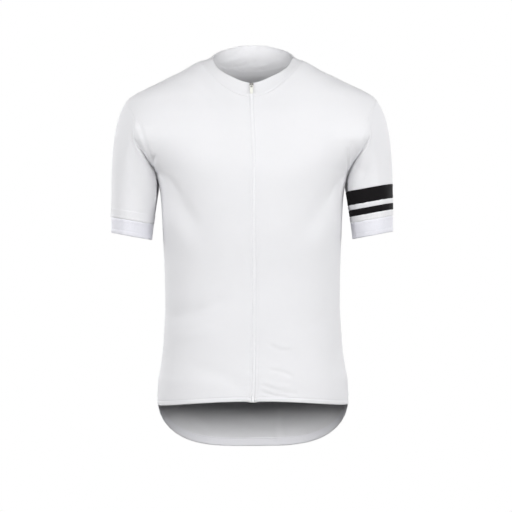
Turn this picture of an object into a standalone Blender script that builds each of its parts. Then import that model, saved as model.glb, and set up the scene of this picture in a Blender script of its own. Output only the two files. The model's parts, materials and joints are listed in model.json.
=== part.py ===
"""A short-sleeved cycling jersey with a full zip, filled out as if worn, as walls of cloth.

It faces -Y, +X is the wearer's left and +Z is up. The origin lies between the two points where
the shoulders meet the sides of the neck, which is where the wearer holds it up. Sizes are in
millimetres, and MM turns them into metres when a mesh is made.

The body is one smooth form, from the tables below, cut into panels along its seams. Each panel is
a grid of points on it, and its wall is the space between the grid and the same grid moved inwards.
At a seam both pieces use the same points and the same direction through the cloth, so their
edges run side by side, SEAM_GAP apart. That is why walls are lofted here by hand.
"""

import math

import bmesh
import bpy
import numpy as np
from mathutils import Matrix, Vector

MM = 0.001

# The form of the body: the height above the side neck points, and half of its width there.
HALF_WIDTHS = [
    # height, half width
    (-740, 176), (-620, 176), (-585, 174.5), (-568, 171), (-546, 167.5), (-525, 165), (-490, 163),
    (-446, 161), (-400, 161.5), (-357, 163), (-300, 165.5), (-255, 167), (-230, 168.5),
    (-205, 172), (-187, 184), (-157, 216), (-135, 242), (-120, 249), (-101, 246), (-90, 242),
    (-78, 236), (-66, 227.5), (-59, 218), (-49.3, 200), (-38.1, 176), (-26.7, 153.6),
    (-15.3, 129.5), (-1.8, 107), (8, 85), (13, 72),
]
DEPTHS = [
    # height, how far the front stands out from the side seam, and the back
    (-740, 108, 106), (-620, 108, 98), (-520, 105, 86), (-420, 105, 83), (-300, 114, 98),
    (-210, 118, 111), (-150, 106, 114), (-100, 91, 108), (-68, 75, 100), (-54, 69, 95),
    (-30, 58, 84), (-6, 47, 70), (4, 42, 64), (13, 36, 56),
]
SQUARENESS = [
    # height, exponent of the section: 2 is an ellipse, and more has flatter sides
    (-740, 2.3), (-260, 2.4), (-200, 2.6), (-157, 2.6), (-128, 2.4), (-87, 2.2), (-60, 2.05),
    (-40, 2.0), (13, 2.0),
]
DRAG_FOLDS = [
    # side, x and height of one end, x and height of the other, half width, depth
    ("front", 190, -150, 128, -262, 17, -3.2),
    ("front", 158, -250, 120, -330, 20, 1.6),
    ("back", 190, -160, 130, -290, 18, -3.2),
    ("back", 150, -330, 60, -360, 20, -2.2),
    ("back", 150, -385, 50, -405, 18, -1.8),
]
FOLD_FADE = 25

# Edges of the panels on that form.
NECK_FRONT = 75
NECK_BACK = 70
SIDE_NECK_HEIGHT = 3.6
ARMHOLE_TOP = -66
UNDERARM = -205
ARMHOLE_FRONT = 62
ARMHOLE_BACK = 70
SIDE_HEM = -630
FRONT_HEM_RISE = 13.5
TAIL_DROP = 90
TAIL_SQUARENESS = 3.3
HEM_BAND = 15
POCKET_MOUTH = -500
BINDING_SHARE = 0.34
CENTRE_FRONT_UNDERARM = -262
CENTRE_BACK_UNDERARM = -262

# The sleeves: the ring of the hem, and the distances of the bands from the hem.
CUFF_CENTRE = (223, -319)
CUFF_HALF_WIDTH = 38
CUFF_HALF_DEPTH = 54
CUFF_TILT = 7
CUFF = 28
STRIP_TOP = 40
NARROW_HOOP_TOP = 52
HOOP_GAP_TOP = 61
WIDE_HOOP_TOP = 87
SLEEVE_LINES = {
    # lines down the sleeve: their value along the top of the arm, and along the underarm
    "x they leave the armhole with": (0.79, 0.05),
    "z they leave the armhole with": (-0.62, -1.0),
    "x they reach the hem with": (0.0, 0.11),
    "share of their length that they leave straight for": (0.2, 0.26),
    "share of their length that they arrive straight for": (0.5, 0.3),
}
SLEEVE_HUGS_TO = 60
SLEEVE_FREE_FROM = 150

# The collar.
COLLAR_TOP_HALF_WIDTH = 75
COLLAR_TOP_FRONT = 65
COLLAR_TOP_BACK = 62
COLLAR_TOP = [
    # angle round the neck from the front in degrees, height of the top edge
    (0, -44), (8, -42), (17, -38), (27, -32), (38, -25.5), (52, -16), (62, -8.5), (72, 1.5),
    (82, 8), (92, 11.5), (120, 25), (146, 34), (164, 39), (180, 40),
]
COLLAR_BULGE = 0.8

# Cloth and gaps.
CLOTH = 1.2
COLLAR_CLOTH = 1.6
CUFF_CLOTH = 1.7
POCKET_CLOTH = 1.1
TAPE = 0.8
SEAM_GAP = 0.3
LAYER_GAP = 0.32
TAPE_INSET = 1.5

# The zip.
ZIP_HALF_OPENING = 2.6
ZIP_TAPE_REACH = 13
COIL_HALF_WIDTH = 2.3
COIL_PROUD = 0.5
COIL_START = 9
COIL_END = 7
BOX_START = 1
BOX_PROUD = 0.9
TAPE_START = 1
TAPE_END = 4
TAPE_SELVEDGE = 0.2
SLIDER_TOP_HALF_WIDTH = 3.6
SLIDER_LOW_HALF_WIDTH = 2.9
SLIDER_LENGTH = 8.4
SLIDER_PLATE = 1.1
SLIDER_BELOW_EDGE = 0.6
SLIDER_POST = (1.5, 2.4)
BAIL_WIDTH = 1.4
BAIL_LENGTH = 5.7
BAIL_ROD = 1.0
BAIL_CLEARANCE = 1.9
TAB_BAR = 0.9
TAB_ARM = 1.3
TAB_WIDTH = 6.2
TAB_WINDOW = 3.2
TAB_LENGTH = 16
TAB_CORNER = (1.7, 3.2)
TAB_LEAN = 0.5

# How many cells each stretch of a panel's edge is divided into.
NECK_FRONT_CELLS = 10
NECK_BACK_CELLS = 8
SHOULDER_CELLS = 6
ARMHOLE_CELLS = 13
FRONT_SIDE_CELLS = 14
POCKET_CELLS = 7
BACK_UPPER_SIDE_CELLS = 9
COLLAR_ROWS = 3
SLEEVE_ROWS = 9
BAND_ROW = 14
DENSE = 200

WHITE = (0.86, 0.86, 0.88)
BLACK = (0.013, 0.012, 0.013)
CREAM = (0.83, 0.83, 0.74)
SILVER = (0.55, 0.55, 0.56)


def smooth(rows, column=1):
    """A curve through a table's rows that has no bumps of its own, as a function of the first column."""
    table = np.array([[row[0], row[column]] for row in rows], float)
    x, y = table[np.argsort(table[:, 0])].T
    step = np.diff(x)
    rise = np.diff(y) / step
    product = rise[:-1] * rise[1:]
    total = np.where(product > 0, rise[:-1] + rise[1:], 1)
    slope = np.concatenate([rise[:1], np.where(product > 0, 2 * product / total, 0), rise[-1:]])

    def at(value):
        value = np.clip(value, x[0], x[-1])
        i = np.clip(np.searchsorted(x, value) - 1, 0, len(step) - 1)
        t = (value - x[i]) / step[i]
        ends = y[i] * (1 + 2 * t) * (1 - t) ** 2 + y[i + 1] * t * t * (3 - 2 * t)
        return ends + step[i] * t * (1 - t) * (slope[i] * (1 - t) - slope[i + 1] * t)

    return at


half_width = smooth(HALF_WIDTHS)
depth_at = {"front": smooth(DEPTHS, 1), "back": smooth(DEPTHS, 2)}
squareness = smooth(SQUARENESS)
collar_top_height = smooth(COLLAR_TOP)
FACING = {"front": -1.0, "back": 1.0}
NECK_HALF_WIDTH = float(half_width(SIDE_NECK_HEIGHT))


def ease(t):
    t = np.clip(t, 0, 1)
    return t * t * (3 - 2 * t)


def unit(vectors):
    return vectors / np.linalg.norm(vectors, axis=-1, keepdims=True)


def quarter_girth(z, side):
    """About how long a section is from the centre line to the side."""
    return 1.1 * np.hypot(half_width(z), depth_at[side](z))


def on_section(s, z, side):
    """The point at about the distance s from the centre line, round the section at height z."""
    t = np.clip(s / quarter_girth(z, side), 0, 1)
    n = squareness(z)
    turn = t ** (n / 2) / (t ** (n / 2) + (1 - t) ** (n / 2))
    x = half_width(z) * np.sin(turn * np.pi / 2) ** (2 / n)
    y = depth_at[side](z) * np.cos(turn * np.pi / 2).clip(0) ** (2 / n)
    return np.stack([x, FACING[side] * y, z], axis=-1)


def s_of(x, z, side):
    """The distance s, as on_section takes it, of the point at x on the section at height z."""
    n = squareness(z)
    turn = 2 / np.pi * np.arcsin(np.clip(np.abs(x) / half_width(z), 0, 1) ** (n / 2))
    ratio = (turn / np.maximum(1 - turn, 1e-12)) ** (2 / n)
    return np.where(turn >= 1, 1, ratio / (1 + ratio)) * quarter_girth(z, side)


def form_normal(points):
    """The outward direction of the form at points on it."""
    x, y, z = np.moveaxis(points, -1, 0)

    def level(x, y, z):
        n = squareness(z)
        depth = np.where(y < 0, depth_at["front"](z), depth_at["back"](z))
        return (np.abs(x) / half_width(z)) ** n + (np.abs(y) / depth) ** n

    h = 0.25
    slopes = [level(x + h, y, z) - level(x - h, y, z), level(x, y + h, z) - level(x, y - h, z),
              level(x, y, z + h) - level(x, y, z - h)]
    return unit(np.stack(slopes, axis=-1))


def fold_height(points):
    """How far the drag folds move the cloth in or out at points of the form."""
    x, y, z = np.moveaxis(points, -1, 0)
    total = np.zeros(x.shape)
    for side, x0, z0, x1, z1, width, depth in DRAG_FOLDS:
        along = np.array([x1 - x0, z1 - z0], float)
        length = np.hypot(*along)
        along = along / length
        ahead = (np.abs(x) - x0) * along[0] + (z - z0) * along[1]
        aside = (np.abs(x) - x0) * along[1] - (z - z0) * along[0]
        beyond = np.maximum(np.abs(ahead - length / 2) - length / 2, 0)
        shape = np.exp(-(aside / width) ** 2 - (beyond / (1.5 * width)) ** 2)
        total += depth * shape * ease(FACING[side] * y / FOLD_FADE)
    return total


def cloth(points):
    """Points of the form with the drag folds, and the direction out of the cloth there."""
    normals = form_normal(points)
    return points + normals * fold_height(points)[..., None], normals


def spread(curve, cells):
    """Points that divide a dense curve into equal lengths."""
    length = np.concatenate([[0], np.cumsum(np.linalg.norm(np.diff(curve, axis=0), axis=1))])
    at = np.linspace(0, length[-1], cells + 1)
    return np.stack([np.interp(at, length, column) for column in curve.T], axis=-1)


def flat(points, side):
    """The points of the form as s and height, the plane that the panels are laid out in."""
    return np.stack([s_of(points[:, 0], points[:, 2], side), points[:, 2]], axis=-1)


def armhole(turn, side):
    """The armhole at an angle from its top, 0, round that side of the arm to the underarm, pi."""
    middle = (ARMHOLE_TOP + UNDERARM) / 2
    z = middle + (ARMHOLE_TOP - UNDERARM) / 2 * np.cos(turn)
    reach = {"front": ARMHOLE_FRONT, "back": ARMHOLE_BACK}[side]
    y = reach * np.sin(turn).clip(0) ** (1.25 + 0.35 * np.cos(turn))
    n = squareness(z)
    x = half_width(z) * (1 - (y / depth_at[side](z)) ** n) ** (1 / n)
    return np.stack([x, FACING[side] * y, z], axis=-1)


def neckline(angle):
    """The collar's seam at an angle round the neck, from 0 at the front to pi at the back."""
    x = NECK_HALF_WIDTH * np.sin(angle)
    front = np.cos(angle) > 0
    y = np.where(front, -NECK_FRONT, -NECK_BACK) * np.cos(angle)
    low, high = np.full(x.shape, -120.0), np.full(x.shape, SIDE_NECK_HEIGHT)
    for _ in range(50):
        z = (low + high) / 2
        depth = np.where(front, depth_at["front"](z), depth_at["back"](z))
        n = squareness(z)
        outside = (x / half_width(z)) ** n + (np.abs(y) / depth) ** n > 1
        high = np.where(outside, z, high)
        low = np.where(outside, low, z)
    return np.stack([x, y, (low + high) / 2], axis=-1)


def seam_line(z_low, z_high):
    """The side seam or the shoulder seam, which both lie where the form is widest."""
    z = np.linspace(z_low, z_high, DENSE)
    return np.stack([half_width(z), np.zeros(DENSE), z], axis=-1)


def tail(dense):
    """The hem of the back, from the centre to the side seam."""
    t = np.linspace(0, 1, dense)
    turn = t ** (TAIL_SQUARENESS / 2) / (t ** (TAIL_SQUARENESS / 2) + (1 - t))
    x = half_width(SIDE_HEM) * np.sin(turn * np.pi / 2) ** (2 / TAIL_SQUARENESS)
    z = SIDE_HEM - TAIL_DROP * np.cos(turn * np.pi / 2)
    return np.stack([s_of(x, z, "back"), z], axis=-1)


def front_hem(dense):
    s = np.linspace(0, quarter_girth(SIDE_HEM, "front"), dense)
    x = on_section(s, np.full(dense, float(SIDE_HEM)), "front")[:, 0]
    z = SIDE_HEM + FRONT_HEM_RISE * (1 - (x / half_width(SIDE_HEM)) ** 2)
    return np.stack([s_of(x, z, "front"), z], axis=-1)


def fill(bottom, top, centre, edge):
    """A grid between four curves that meet at their ends. The bottom row's shape is kept by the
    next, and fades from there to the row of the pockets' mouth. The top shapes only what is near."""
    u = (bottom[:, 0] / bottom[-1, 0])[None, :, None]
    rows = np.arange(len(centre))[:, None, None]
    near_bottom = 1 - ease((rows - 1) / POCKET_CELLS)
    near_top = (rows / (len(centre) - 1)) ** 3
    grid = (1 - u) * centre[:, None] + u * edge[:, None] + near_bottom * bottom + near_top * top
    left = near_bottom * bottom[0] + near_top * top[0]
    right = near_bottom * bottom[-1] + near_top * top[-1]
    return grid - (1 - u) * left - u * right


def half_panel(side):
    """The points of a front, or of half of the back, as a grid from the hem up and from the centre out."""
    front = side == "front"
    neck_cells = NECK_FRONT_CELLS if front else NECK_BACK_CELLS
    angles = np.linspace(0, np.pi / 2, DENSE) if front else np.linspace(np.pi, np.pi / 2, DENSE)
    neck = spread(neckline(angles), neck_cells)
    shoulder = spread(seam_line(SIDE_NECK_HEIGHT, ARMHOLE_TOP), SHOULDER_CELLS)
    if front:
        past_zip = np.linspace(math.asin(ZIP_TAPE_REACH / NECK_HALF_WIDTH), np.pi / 2, DENSE)
        neck[1:] = spread(neckline(past_zip), neck_cells - 1)
    top = flat(np.concatenate([neck[:-1], shoulder]), side)
    arm = flat(armhole(np.linspace(np.pi, 0, ARMHOLE_CELLS + 1), side), side)
    cells = neck_cells + SHOULDER_CELLS
    if front:
        hem = front_hem(DENSE)
        low = spread(hem[hem[:, 0] > ZIP_TAPE_REACH], cells - 1)
        bottom = np.concatenate([hem[:1], low])
        bottom[1, 0] = ZIP_TAPE_REACH
        side_z = np.linspace(SIDE_HEM + HEM_BAND, UNDERARM, FRONT_SIDE_CELLS)
        centre_z = np.linspace(bottom[0, 1] + HEM_BAND, CENTRE_FRONT_UNDERARM, FRONT_SIDE_CELLS)
        underarm_z = CENTRE_FRONT_UNDERARM
    else:
        bottom = spread(tail(DENSE), cells)
        pocket = np.linspace(SIDE_HEM + HEM_BAND, POCKET_MOUTH, POCKET_CELLS + 1)
        above = np.linspace(POCKET_MOUTH, UNDERARM, BACK_UPPER_SIDE_CELLS + 1)
        side_z = np.concatenate([pocket, above[1:]])
        pocket = np.linspace(bottom[0, 1] + HEM_BAND, POCKET_MOUTH, POCKET_CELLS + 1)
        above = np.linspace(POCKET_MOUTH, CENTRE_BACK_UNDERARM, BACK_UPPER_SIDE_CELLS + 1)
        centre_z = np.concatenate([pocket, above[1:]])
        underarm_z = CENTRE_BACK_UNDERARM
    side_z = np.concatenate([[SIDE_HEM], side_z])
    rise = np.linspace(underarm_z, top[0, 1], ARMHOLE_CELLS + 1)[1:]
    centre_z = np.concatenate([[bottom[0, 1]], centre_z, rise])
    edge = np.stack([quarter_girth(side_z, side), side_z], axis=-1)
    edge = np.concatenate([edge, arm[1:]])
    centre = np.stack([np.zeros(len(centre_z)), centre_z], axis=-1)
    grid = fill(bottom, top, centre, edge)
    return on_section(grid[..., 0], grid[..., 1], side)


def sleeve_line(turn, side):
    """Dense lines down the sleeve, one for each angle round the armhole, as points from the hem up.
    Near the top of the arm they leave the armhole along the body's surface."""
    start, normals = cloth(armhole(turn, side))
    cos, sin = np.cos(turn), FACING[side] * np.sin(turn)
    end = np.stack([CUFF_CENTRE[0] + CUFF_HALF_WIDTH * cos, CUFF_HALF_DEPTH * sin,
                    CUFF_CENTRE[1] + CUFF_TILT * cos], axis=-1)
    leave_x, leave_z, arrive_x, leave_share, arrive_share = (
        under + (top - under) * (1 + cos) / 2 for top, under in SLEEVE_LINES.values()
    )
    leave = np.stack([leave_x, 0.1 * sin, leave_z], axis=-1)
    hug = 1 - ease((np.degrees(turn) - SLEEVE_HUGS_TO) / (SLEEVE_FREE_FROM - SLEEVE_HUGS_TO))
    leave = unit(leave - normals * (hug * (leave * normals).sum(-1))[:, None])
    arrive = unit(np.stack([arrive_x, 0 * sin, -np.ones(len(turn))], axis=-1))
    span = np.linalg.norm(end - start, axis=-1)
    near = start + leave * (span * leave_share)[:, None]
    far = end - arrive * (span * arrive_share)[:, None]
    t = np.linspace(1, 0, DENSE)[:, None, None]
    return start * (1 - t) ** 3 + 3 * near * t * (1 - t) ** 2 + 3 * far * t**2 * (1 - t) + end * t**3


def sleeve_grid(low, high):
    """Rings of the sleeve between distances from the hem. A high of None means up to the armhole."""
    turns = np.linspace(0, np.pi, ARMHOLE_CELLS + 1)
    lines = [sleeve_line(turns, "front"), sleeve_line(turns[-2:0:-1], "back")]
    lines = np.concatenate(lines, axis=1)
    steps = np.linalg.norm(np.diff(lines, axis=0), axis=2)
    length = np.concatenate([np.zeros((1, lines.shape[1])), np.cumsum(steps, axis=0)])

    def ring(share, nudge=0.0):
        points = []
        for column in range(lines.shape[1]):
            top = length[-1, column] if high is None else high
            at = low + (top - low) * share + nudge
            line, distance = lines[:, column], length[:, column]
            points.append([np.interp(at, distance, line[:, axis]) for axis in range(3)])
        return np.array(points)

    rows = SLEEVE_ROWS if high is None else max(1, round((high - low) / BAND_ROW))
    shares = np.linspace(0, 1, rows + 1)
    grid = np.array([ring(share) for share in shares])
    up = np.array([ring(share, 1.0) - ring(share, -1.0) for share in shares])
    around = np.roll(grid, -1, axis=1) - np.roll(grid, 1, axis=1)
    return grid, unit(np.cross(up, around))


def seam_way(own, other):
    """The way through the cloth at a seam. Two pieces that meet gently share the way halfway
    between them, and two that fold back on each other, under the arm, keep their own."""
    share = ease((own * other).sum(-1) / 0.5)[..., None]
    way = unit(own + share * other)
    return way / np.maximum((way * own).sum(-1), 0.75)[..., None]


def torso_normal_at_armhole():
    turns = np.linspace(0, np.pi, ARMHOLE_CELLS + 1)
    points = np.concatenate([armhole(turns, "front"), armhole(turns[-2:0:-1], "back")])
    return form_normal(points)


def collar_grid():
    """The collar from its seam up, and from the zip round the back to the zip again."""
    front = neck_samples("front")
    back = neck_samples("back")
    half = np.concatenate([front, back[-2::-1]])
    angle = np.arctan2(half[:, 0] / NECK_HALF_WIDTH,
                       -half[:, 1] / np.where(half[:, 1] < 0, NECK_FRONT, NECK_BACK))
    reach = np.where(np.cos(angle) > 0, COLLAR_TOP_FRONT, COLLAR_TOP_BACK)
    top = np.stack([COLLAR_TOP_HALF_WIDTH * np.sin(angle), -reach * np.cos(angle),
                    collar_top_height(np.degrees(angle))], axis=-1)
    top[1, 0] = ZIP_TAPE_REACH
    seam, _ = cloth(half)
    rise = np.linspace(0, 1, COLLAR_ROWS + 1)[:, None, None]
    grid = seam * (1 - rise) + top * rise
    outward = unit(np.stack([np.sin(angle), -np.cos(angle), 0 * angle], axis=-1))
    grid = grid - outward * COLLAR_BULGE * 4 * rise * (1 - rise)
    mirrored = grid[:, -2::-1] * [-1, 1, 1]
    return np.concatenate([grid, mirrored], axis=1)


def neck_samples(side):
    """The points of a panel's top edge that the collar is sewn to."""
    cells = NECK_FRONT_CELLS if side == "front" else NECK_BACK_CELLS
    return PANELS[side][-1, : cells + 1]


def grid_normals(grid):
    """The outward direction of an open grid, from its own rows and columns."""
    up = np.gradient(grid, axis=0)
    along = np.gradient(grid, axis=1)
    return unit(np.cross(along, up))


def inset(grid, normals, edges):
    """Moves a grid's open edges inwards within the cloth: edges says which, and by how much."""
    moved = grid.copy()
    lines = {"bottom": (grid[0], grid[1], normals[0], moved[0]),
             "top": (grid[-1], grid[-2], normals[-1], moved[-1]),
             "left": (grid[:, 0], grid[:, 1], normals[:, 0], moved[:, 0]),
             "right": (grid[:, -1], grid[:, -2], normals[:, -1], moved[:, -1])}
    closed = edges.get("closed", False)
    for name, amount in edges.items():
        if name == "closed":
            continue
        line, inner, normal, target = lines[name]
        if closed:
            steps = np.roll(line, -1, axis=0) - line
            ways = across(steps, normal, inner - line)
            before, after = np.roll(ways, 1, axis=0), ways
        else:
            ways = across(np.diff(line, axis=0), normal[:-1], (inner - line)[:-1])
            before = np.concatenate([ways[:1], ways])
            after = np.concatenate([ways, ways[-1:]])
        corner = 1 + (before * after).sum(-1, keepdims=True)
        target += amount * (before + after) / np.maximum(corner, 0.4)
    return moved


def across(steps, normal, inwards):
    ways = unit(np.cross(normal, steps))
    return ways * np.sign((ways * inwards).sum(-1, keepdims=True))


def solid(name, outer, inner, material, closed=False):
    """The closed wall between two grids of points, with a rim along every open edge."""
    mesh = bmesh.new()
    skins = [[[mesh.verts.new(point * MM) for point in row] for row in skin] for skin in (outer, inner)]
    rows, columns = outer.shape[:2]
    columns_used = columns if closed else columns - 1
    for skin in skins:
        for i in range(rows - 1):
            for j in range(columns_used):
                k = (j + 1) % columns
                mesh.faces.new((skin[i][j], skin[i][k], skin[i + 1][k], skin[i + 1][j]))
    edges = []
    for i in (0, rows - 1):
        edges += [((i, j), (i, (j + 1) % columns)) for j in range(columns_used)]
    if not closed:
        for j in (0, columns - 1):
            edges += [((i, j), (i + 1, j)) for i in range(rows - 1)]
    for (a, b), (c, d) in edges:
        mesh.faces.new((skins[0][a][b], skins[0][c][d], skins[1][c][d], skins[1][a][b]))
    bmesh.ops.recalc_face_normals(mesh, faces=mesh.faces)
    return finished(name, mesh, material)


def finished(name, mesh, material):
    """Puts a mesh into the jersey's collection, shaded smooth, with its material."""
    data = bpy.data.meshes.new(name)
    mesh.to_mesh(data)
    mesh.free()
    data.shade_smooth()
    data.set_sharp_from_angle(angle=math.radians(40))
    data.materials.append(material)
    made = bpy.data.objects.new(name, data)
    JERSEY.objects.link(made)
    return made


def mirrored(grid):
    """The same grid on the wearer's other side."""
    return grid[:, ::-1] * [-1, 1, 1]


def wall(name, grid, ways, edges, material, thickness=CLOTH, lift=0.0):
    """A wall of cloth whose outer face is the grid, lifted off by lift and inset at its edges."""
    outer = inset(grid, ways, edges) + ways * lift
    return solid(name, outer, outer - ways * thickness, material, edges.get("closed", False))


def paint(name, colour, roughness, metallic=0.0):
    made = bpy.data.materials.new(name)
    made.use_nodes = True
    shader = made.node_tree.nodes["Principled BSDF"]
    shader.inputs["Base Color"].default_value = (*colour, 1)
    shader.inputs["Roughness"].default_value = roughness
    shader.inputs["Metallic"].default_value = metallic
    return made


def make_fronts(ways):
    edges = {"bottom": 0, "top": SEAM_GAP / 2, "left": ZIP_HALF_OPENING, "right": SEAM_GAP / 2}
    grid, _ = cloth(PANELS["front"])
    wall("front_left", grid, ways, edges, paint("front_left", WHITE, 0.6))
    edges = {**edges, "left": edges["right"], "right": edges["left"]}
    wall("front_right", mirrored(grid), mirrored(ways), edges, paint("front_right", WHITE, 0.6))


def make_back(grid, ways):
    edges = {"bottom": 0, "top": SEAM_GAP / 2, "left": SEAM_GAP / 2, "right": SEAM_GAP / 2}
    wall("back", grid, ways, edges, paint("back", WHITE, 0.6))


def make_sleeves():
    """Each sleeve is cut across into pieces, by their distances from the hem."""
    cut = {
        "right": [("cuff_right", 0, CUFF), ("sleeve_right", CUFF, None)],
        "left": [("cuff_left", 0, CUFF), ("sleeve_left_lower", CUFF, STRIP_TOP),
                 ("hoop_left_narrow", STRIP_TOP, NARROW_HOOP_TOP),
                 ("hoop_left_gap", NARROW_HOOP_TOP, HOOP_GAP_TOP),
                 ("hoop_left_wide", HOOP_GAP_TOP, WIDE_HOOP_TOP),
                 ("sleeve_left", WIDE_HOOP_TOP, None)],
    }
    torso = torso_normal_at_armhole()
    for side, pieces in cut.items():
        for name, low, high in pieces:
            grid, ways = sleeve_grid(low, high)
            if high is None:
                ways[-1] = seam_way(ways[-1], torso)
            edges = {"bottom": SEAM_GAP / 2 if low else 0, "top": SEAM_GAP / 2, "closed": True}
            black = name in ("hoop_left_wide", "hoop_left_narrow")
            colour = paint(name, BLACK if black else WHITE, 0.6)
            thickness = CUFF_CLOTH if name.startswith("cuff") else CLOTH
            if side == "right":
                grid, ways = mirrored(grid), mirrored(ways)
            wall(name, grid, ways, edges, colour, thickness)


def make_collar(grid, ways):
    edges = {"bottom": SEAM_GAP / 2, "top": 0, "left": ZIP_HALF_OPENING, "right": ZIP_HALF_OPENING}
    wall("collar", grid, ways, edges, paint("collar", WHITE, 0.6), COLLAR_CLOTH)


def make_pockets(grid, ways):
    """The pocket panel lies on the back, from the hem tape's line up to the pockets' mouth."""
    rows = slice(1, POCKET_CELLS + 2)
    grid, ways = grid[rows, 1:-1], ways[rows, 1:-1]
    lift = POCKET_CLOTH + LAYER_GAP
    edges = {"bottom": 0, "top": 0, "left": 0, "right": 0}
    wall("pocket_panel", grid, ways, edges, paint("pocket_panel", WHITE, 0.6), POCKET_CLOTH, lift)
    band = np.stack([grid[-1] + (grid[-2] - grid[-1]) * share for share in (BINDING_SHARE, 0)])
    way = np.stack([ways[-1] + (ways[-2] - ways[-1]) * share for share in (BINDING_SHARE, 0)])
    lift += TAPE + LAYER_GAP
    wall("pocket_binding", band, way, edges, paint("pocket_binding", WHITE, 0.5), TAPE, lift)


def make_hem_tape(grid, ways):
    """The gripper tape inside the tail, along its hem."""
    edges = {"bottom": TAPE_INSET, "top": 0, "left": 2 * TAPE_INSET, "right": 2 * TAPE_INSET}
    tape = paint("hem_tape", WHITE, 0.5)
    wall("hem_tape", grid[:2], ways[:2], edges, tape, TAPE, -CLOTH - LAYER_GAP)


def make_zip(front, front_ways, collar, collar_ways):
    """The tapes lie behind the fronts' edges. The closed coil fills the gap between those edges,
    and the box that the zip starts from is below it."""
    grid = np.concatenate([front[:, :2], collar[1:, :2]])
    ways = np.concatenate([front_ways[:, :2], collar_ways[1:, :2]])
    behind = np.where(np.arange(len(grid)) < len(front) - 1, CLOTH, COLLAR_CLOTH)[:, None, None]
    lift = -behind - LAYER_GAP
    edges = {"bottom": TAPE_START, "top": TAPE_END, "left": TAPE_SELVEDGE, "right": TAPE_INSET}
    white = paint("zip_tape", WHITE, 0.6)
    wall("zip_tape_left", grid, ways, edges, white, TAPE, lift)
    edges = {**edges, "left": edges["right"], "right": edges["left"]}
    wall("zip_tape_right", mirrored(grid), mirrored(ways), edges, white, TAPE, lift)
    half = np.array([COIL_HALF_WIDTH, 0, 0])
    line = np.stack([grid[:, 0] - half, grid[:, 0] + half], 1)
    along = np.stack([ways[:, 0], ways[:, 0]], 1)
    edges = {"bottom": COIL_START, "top": COIL_END}
    coil = paint("zip_chain", WHITE, 0.35)
    wall("zip_chain", line, along, edges, coil, COIL_PROUD + CLOTH, COIL_PROUD)
    edges = {"bottom": BOX_START, "top": HEM_BAND - COIL_START + SEAM_GAP}
    box = paint("zip_box", WHITE, 0.35)
    wall("zip_box", line[:2], along[:2], edges, box, BOX_PROUD + CLOTH, BOX_PROUD)


def prism(outline, low, high):
    """A piece of the slider: an outline in x and y, from one height to another, in millimetres."""
    mesh = bmesh.new()
    rings = [[mesh.verts.new((x * MM, y * MM, z * MM)) for x, y in outline] for z in (low, high)]
    for ring in rings:
        mesh.faces.new(ring)
    for i in range(len(outline)):
        j = (i + 1) % len(outline)
        mesh.faces.new((rings[0][i], rings[0][j], rings[1][j], rings[1][i]))
    bmesh.ops.recalc_face_normals(mesh, faces=mesh.faces)
    return mesh


def oblong(width, length, middle):
    x, y = width / 2, length / 2
    return [(-x, middle - y), (x, middle - y), (x, middle + y), (-x, middle + y)]


def make_slider(collar, collar_ways):
    """The slider holds the tapes between two plates, and the bail that the tab swings on stands on
    the front plate. Its axes are x, up the zip and out of it, and its origin is the collar's edge."""
    top, below = collar[-1, 0], collar[-2, 0]
    up = unit(top - below)
    out = collar_ways[-1, 0]
    out = unit(out - up * (out @ up))
    frame = Matrix(((1, up[0], out[0]), (0, up[1], out[1]), (0, up[2], out[2]))).to_4x4()
    frame.translation = Vector(top * MM)
    face = COIL_PROUD + LAYER_GAP
    back_face = -COLLAR_CLOTH - 2 * LAYER_GAP - TAPE
    high, low = -SLIDER_BELOW_EDGE, -SLIDER_BELOW_EDGE - SLIDER_LENGTH
    middle = (low + high) / 2
    wide, slim, corner = SLIDER_TOP_HALF_WIDTH, SLIDER_LOW_HALF_WIDTH, SLIDER_PLATE
    shield = [(wide, high - corner), (wide - corner, high), (corner - wide, high),
              (-wide, high - corner), (-wide, middle), (-slim, low + corner), (corner - slim, low),
              (slim - corner, low), (slim, low + corner), (wide, middle)]
    foot = face + SLIDER_PLATE / 2
    under_bail = face + SLIDER_PLATE + BAIL_CLEARANCE
    foot_at = (BAIL_LENGTH - BAIL_ROD) / 2
    pieces = {
        "zip_slider": (shield, face, face + SLIDER_PLATE),
        "back_plate": (shield, back_face - SLIDER_PLATE, back_face),
        "post": (oblong(*SLIDER_POST, high - SLIDER_POST[1] / 2 - 0.1), back_face - 0.5, foot),
        "bail_foot_low": (oblong(BAIL_WIDTH, BAIL_ROD, middle - foot_at), foot, under_bail + 0.5),
        "bail_foot_high": (oblong(BAIL_WIDTH, BAIL_ROD, middle + foot_at), foot, under_bail + 0.5),
        "bail_bar": (oblong(BAIL_WIDTH, BAIL_LENGTH, middle), under_bail, under_bail + BAIL_ROD),
    }
    metal = paint("zip_slider", SILVER, 0.3, 1.0)
    made = {name: finished(name, prism(*piece), metal) for name, piece in pieces.items()}
    body = made.pop("zip_slider")
    body.matrix_world = frame
    for name, piece in made.items():
        JERSEY.objects.unlink(piece)
        CUTTERS.objects.link(piece)
        piece.hide_render = True
        piece.display_type = "WIRE"
        piece.matrix_world = frame
        join = body.modifiers.new(name, "BOOLEAN")
        join.operation = "UNION"
        join.object = piece
    return frame, Vector((0, middle - 1, face + SLIDER_PLATE + BAIL_CLEARANCE / 2))


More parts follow.
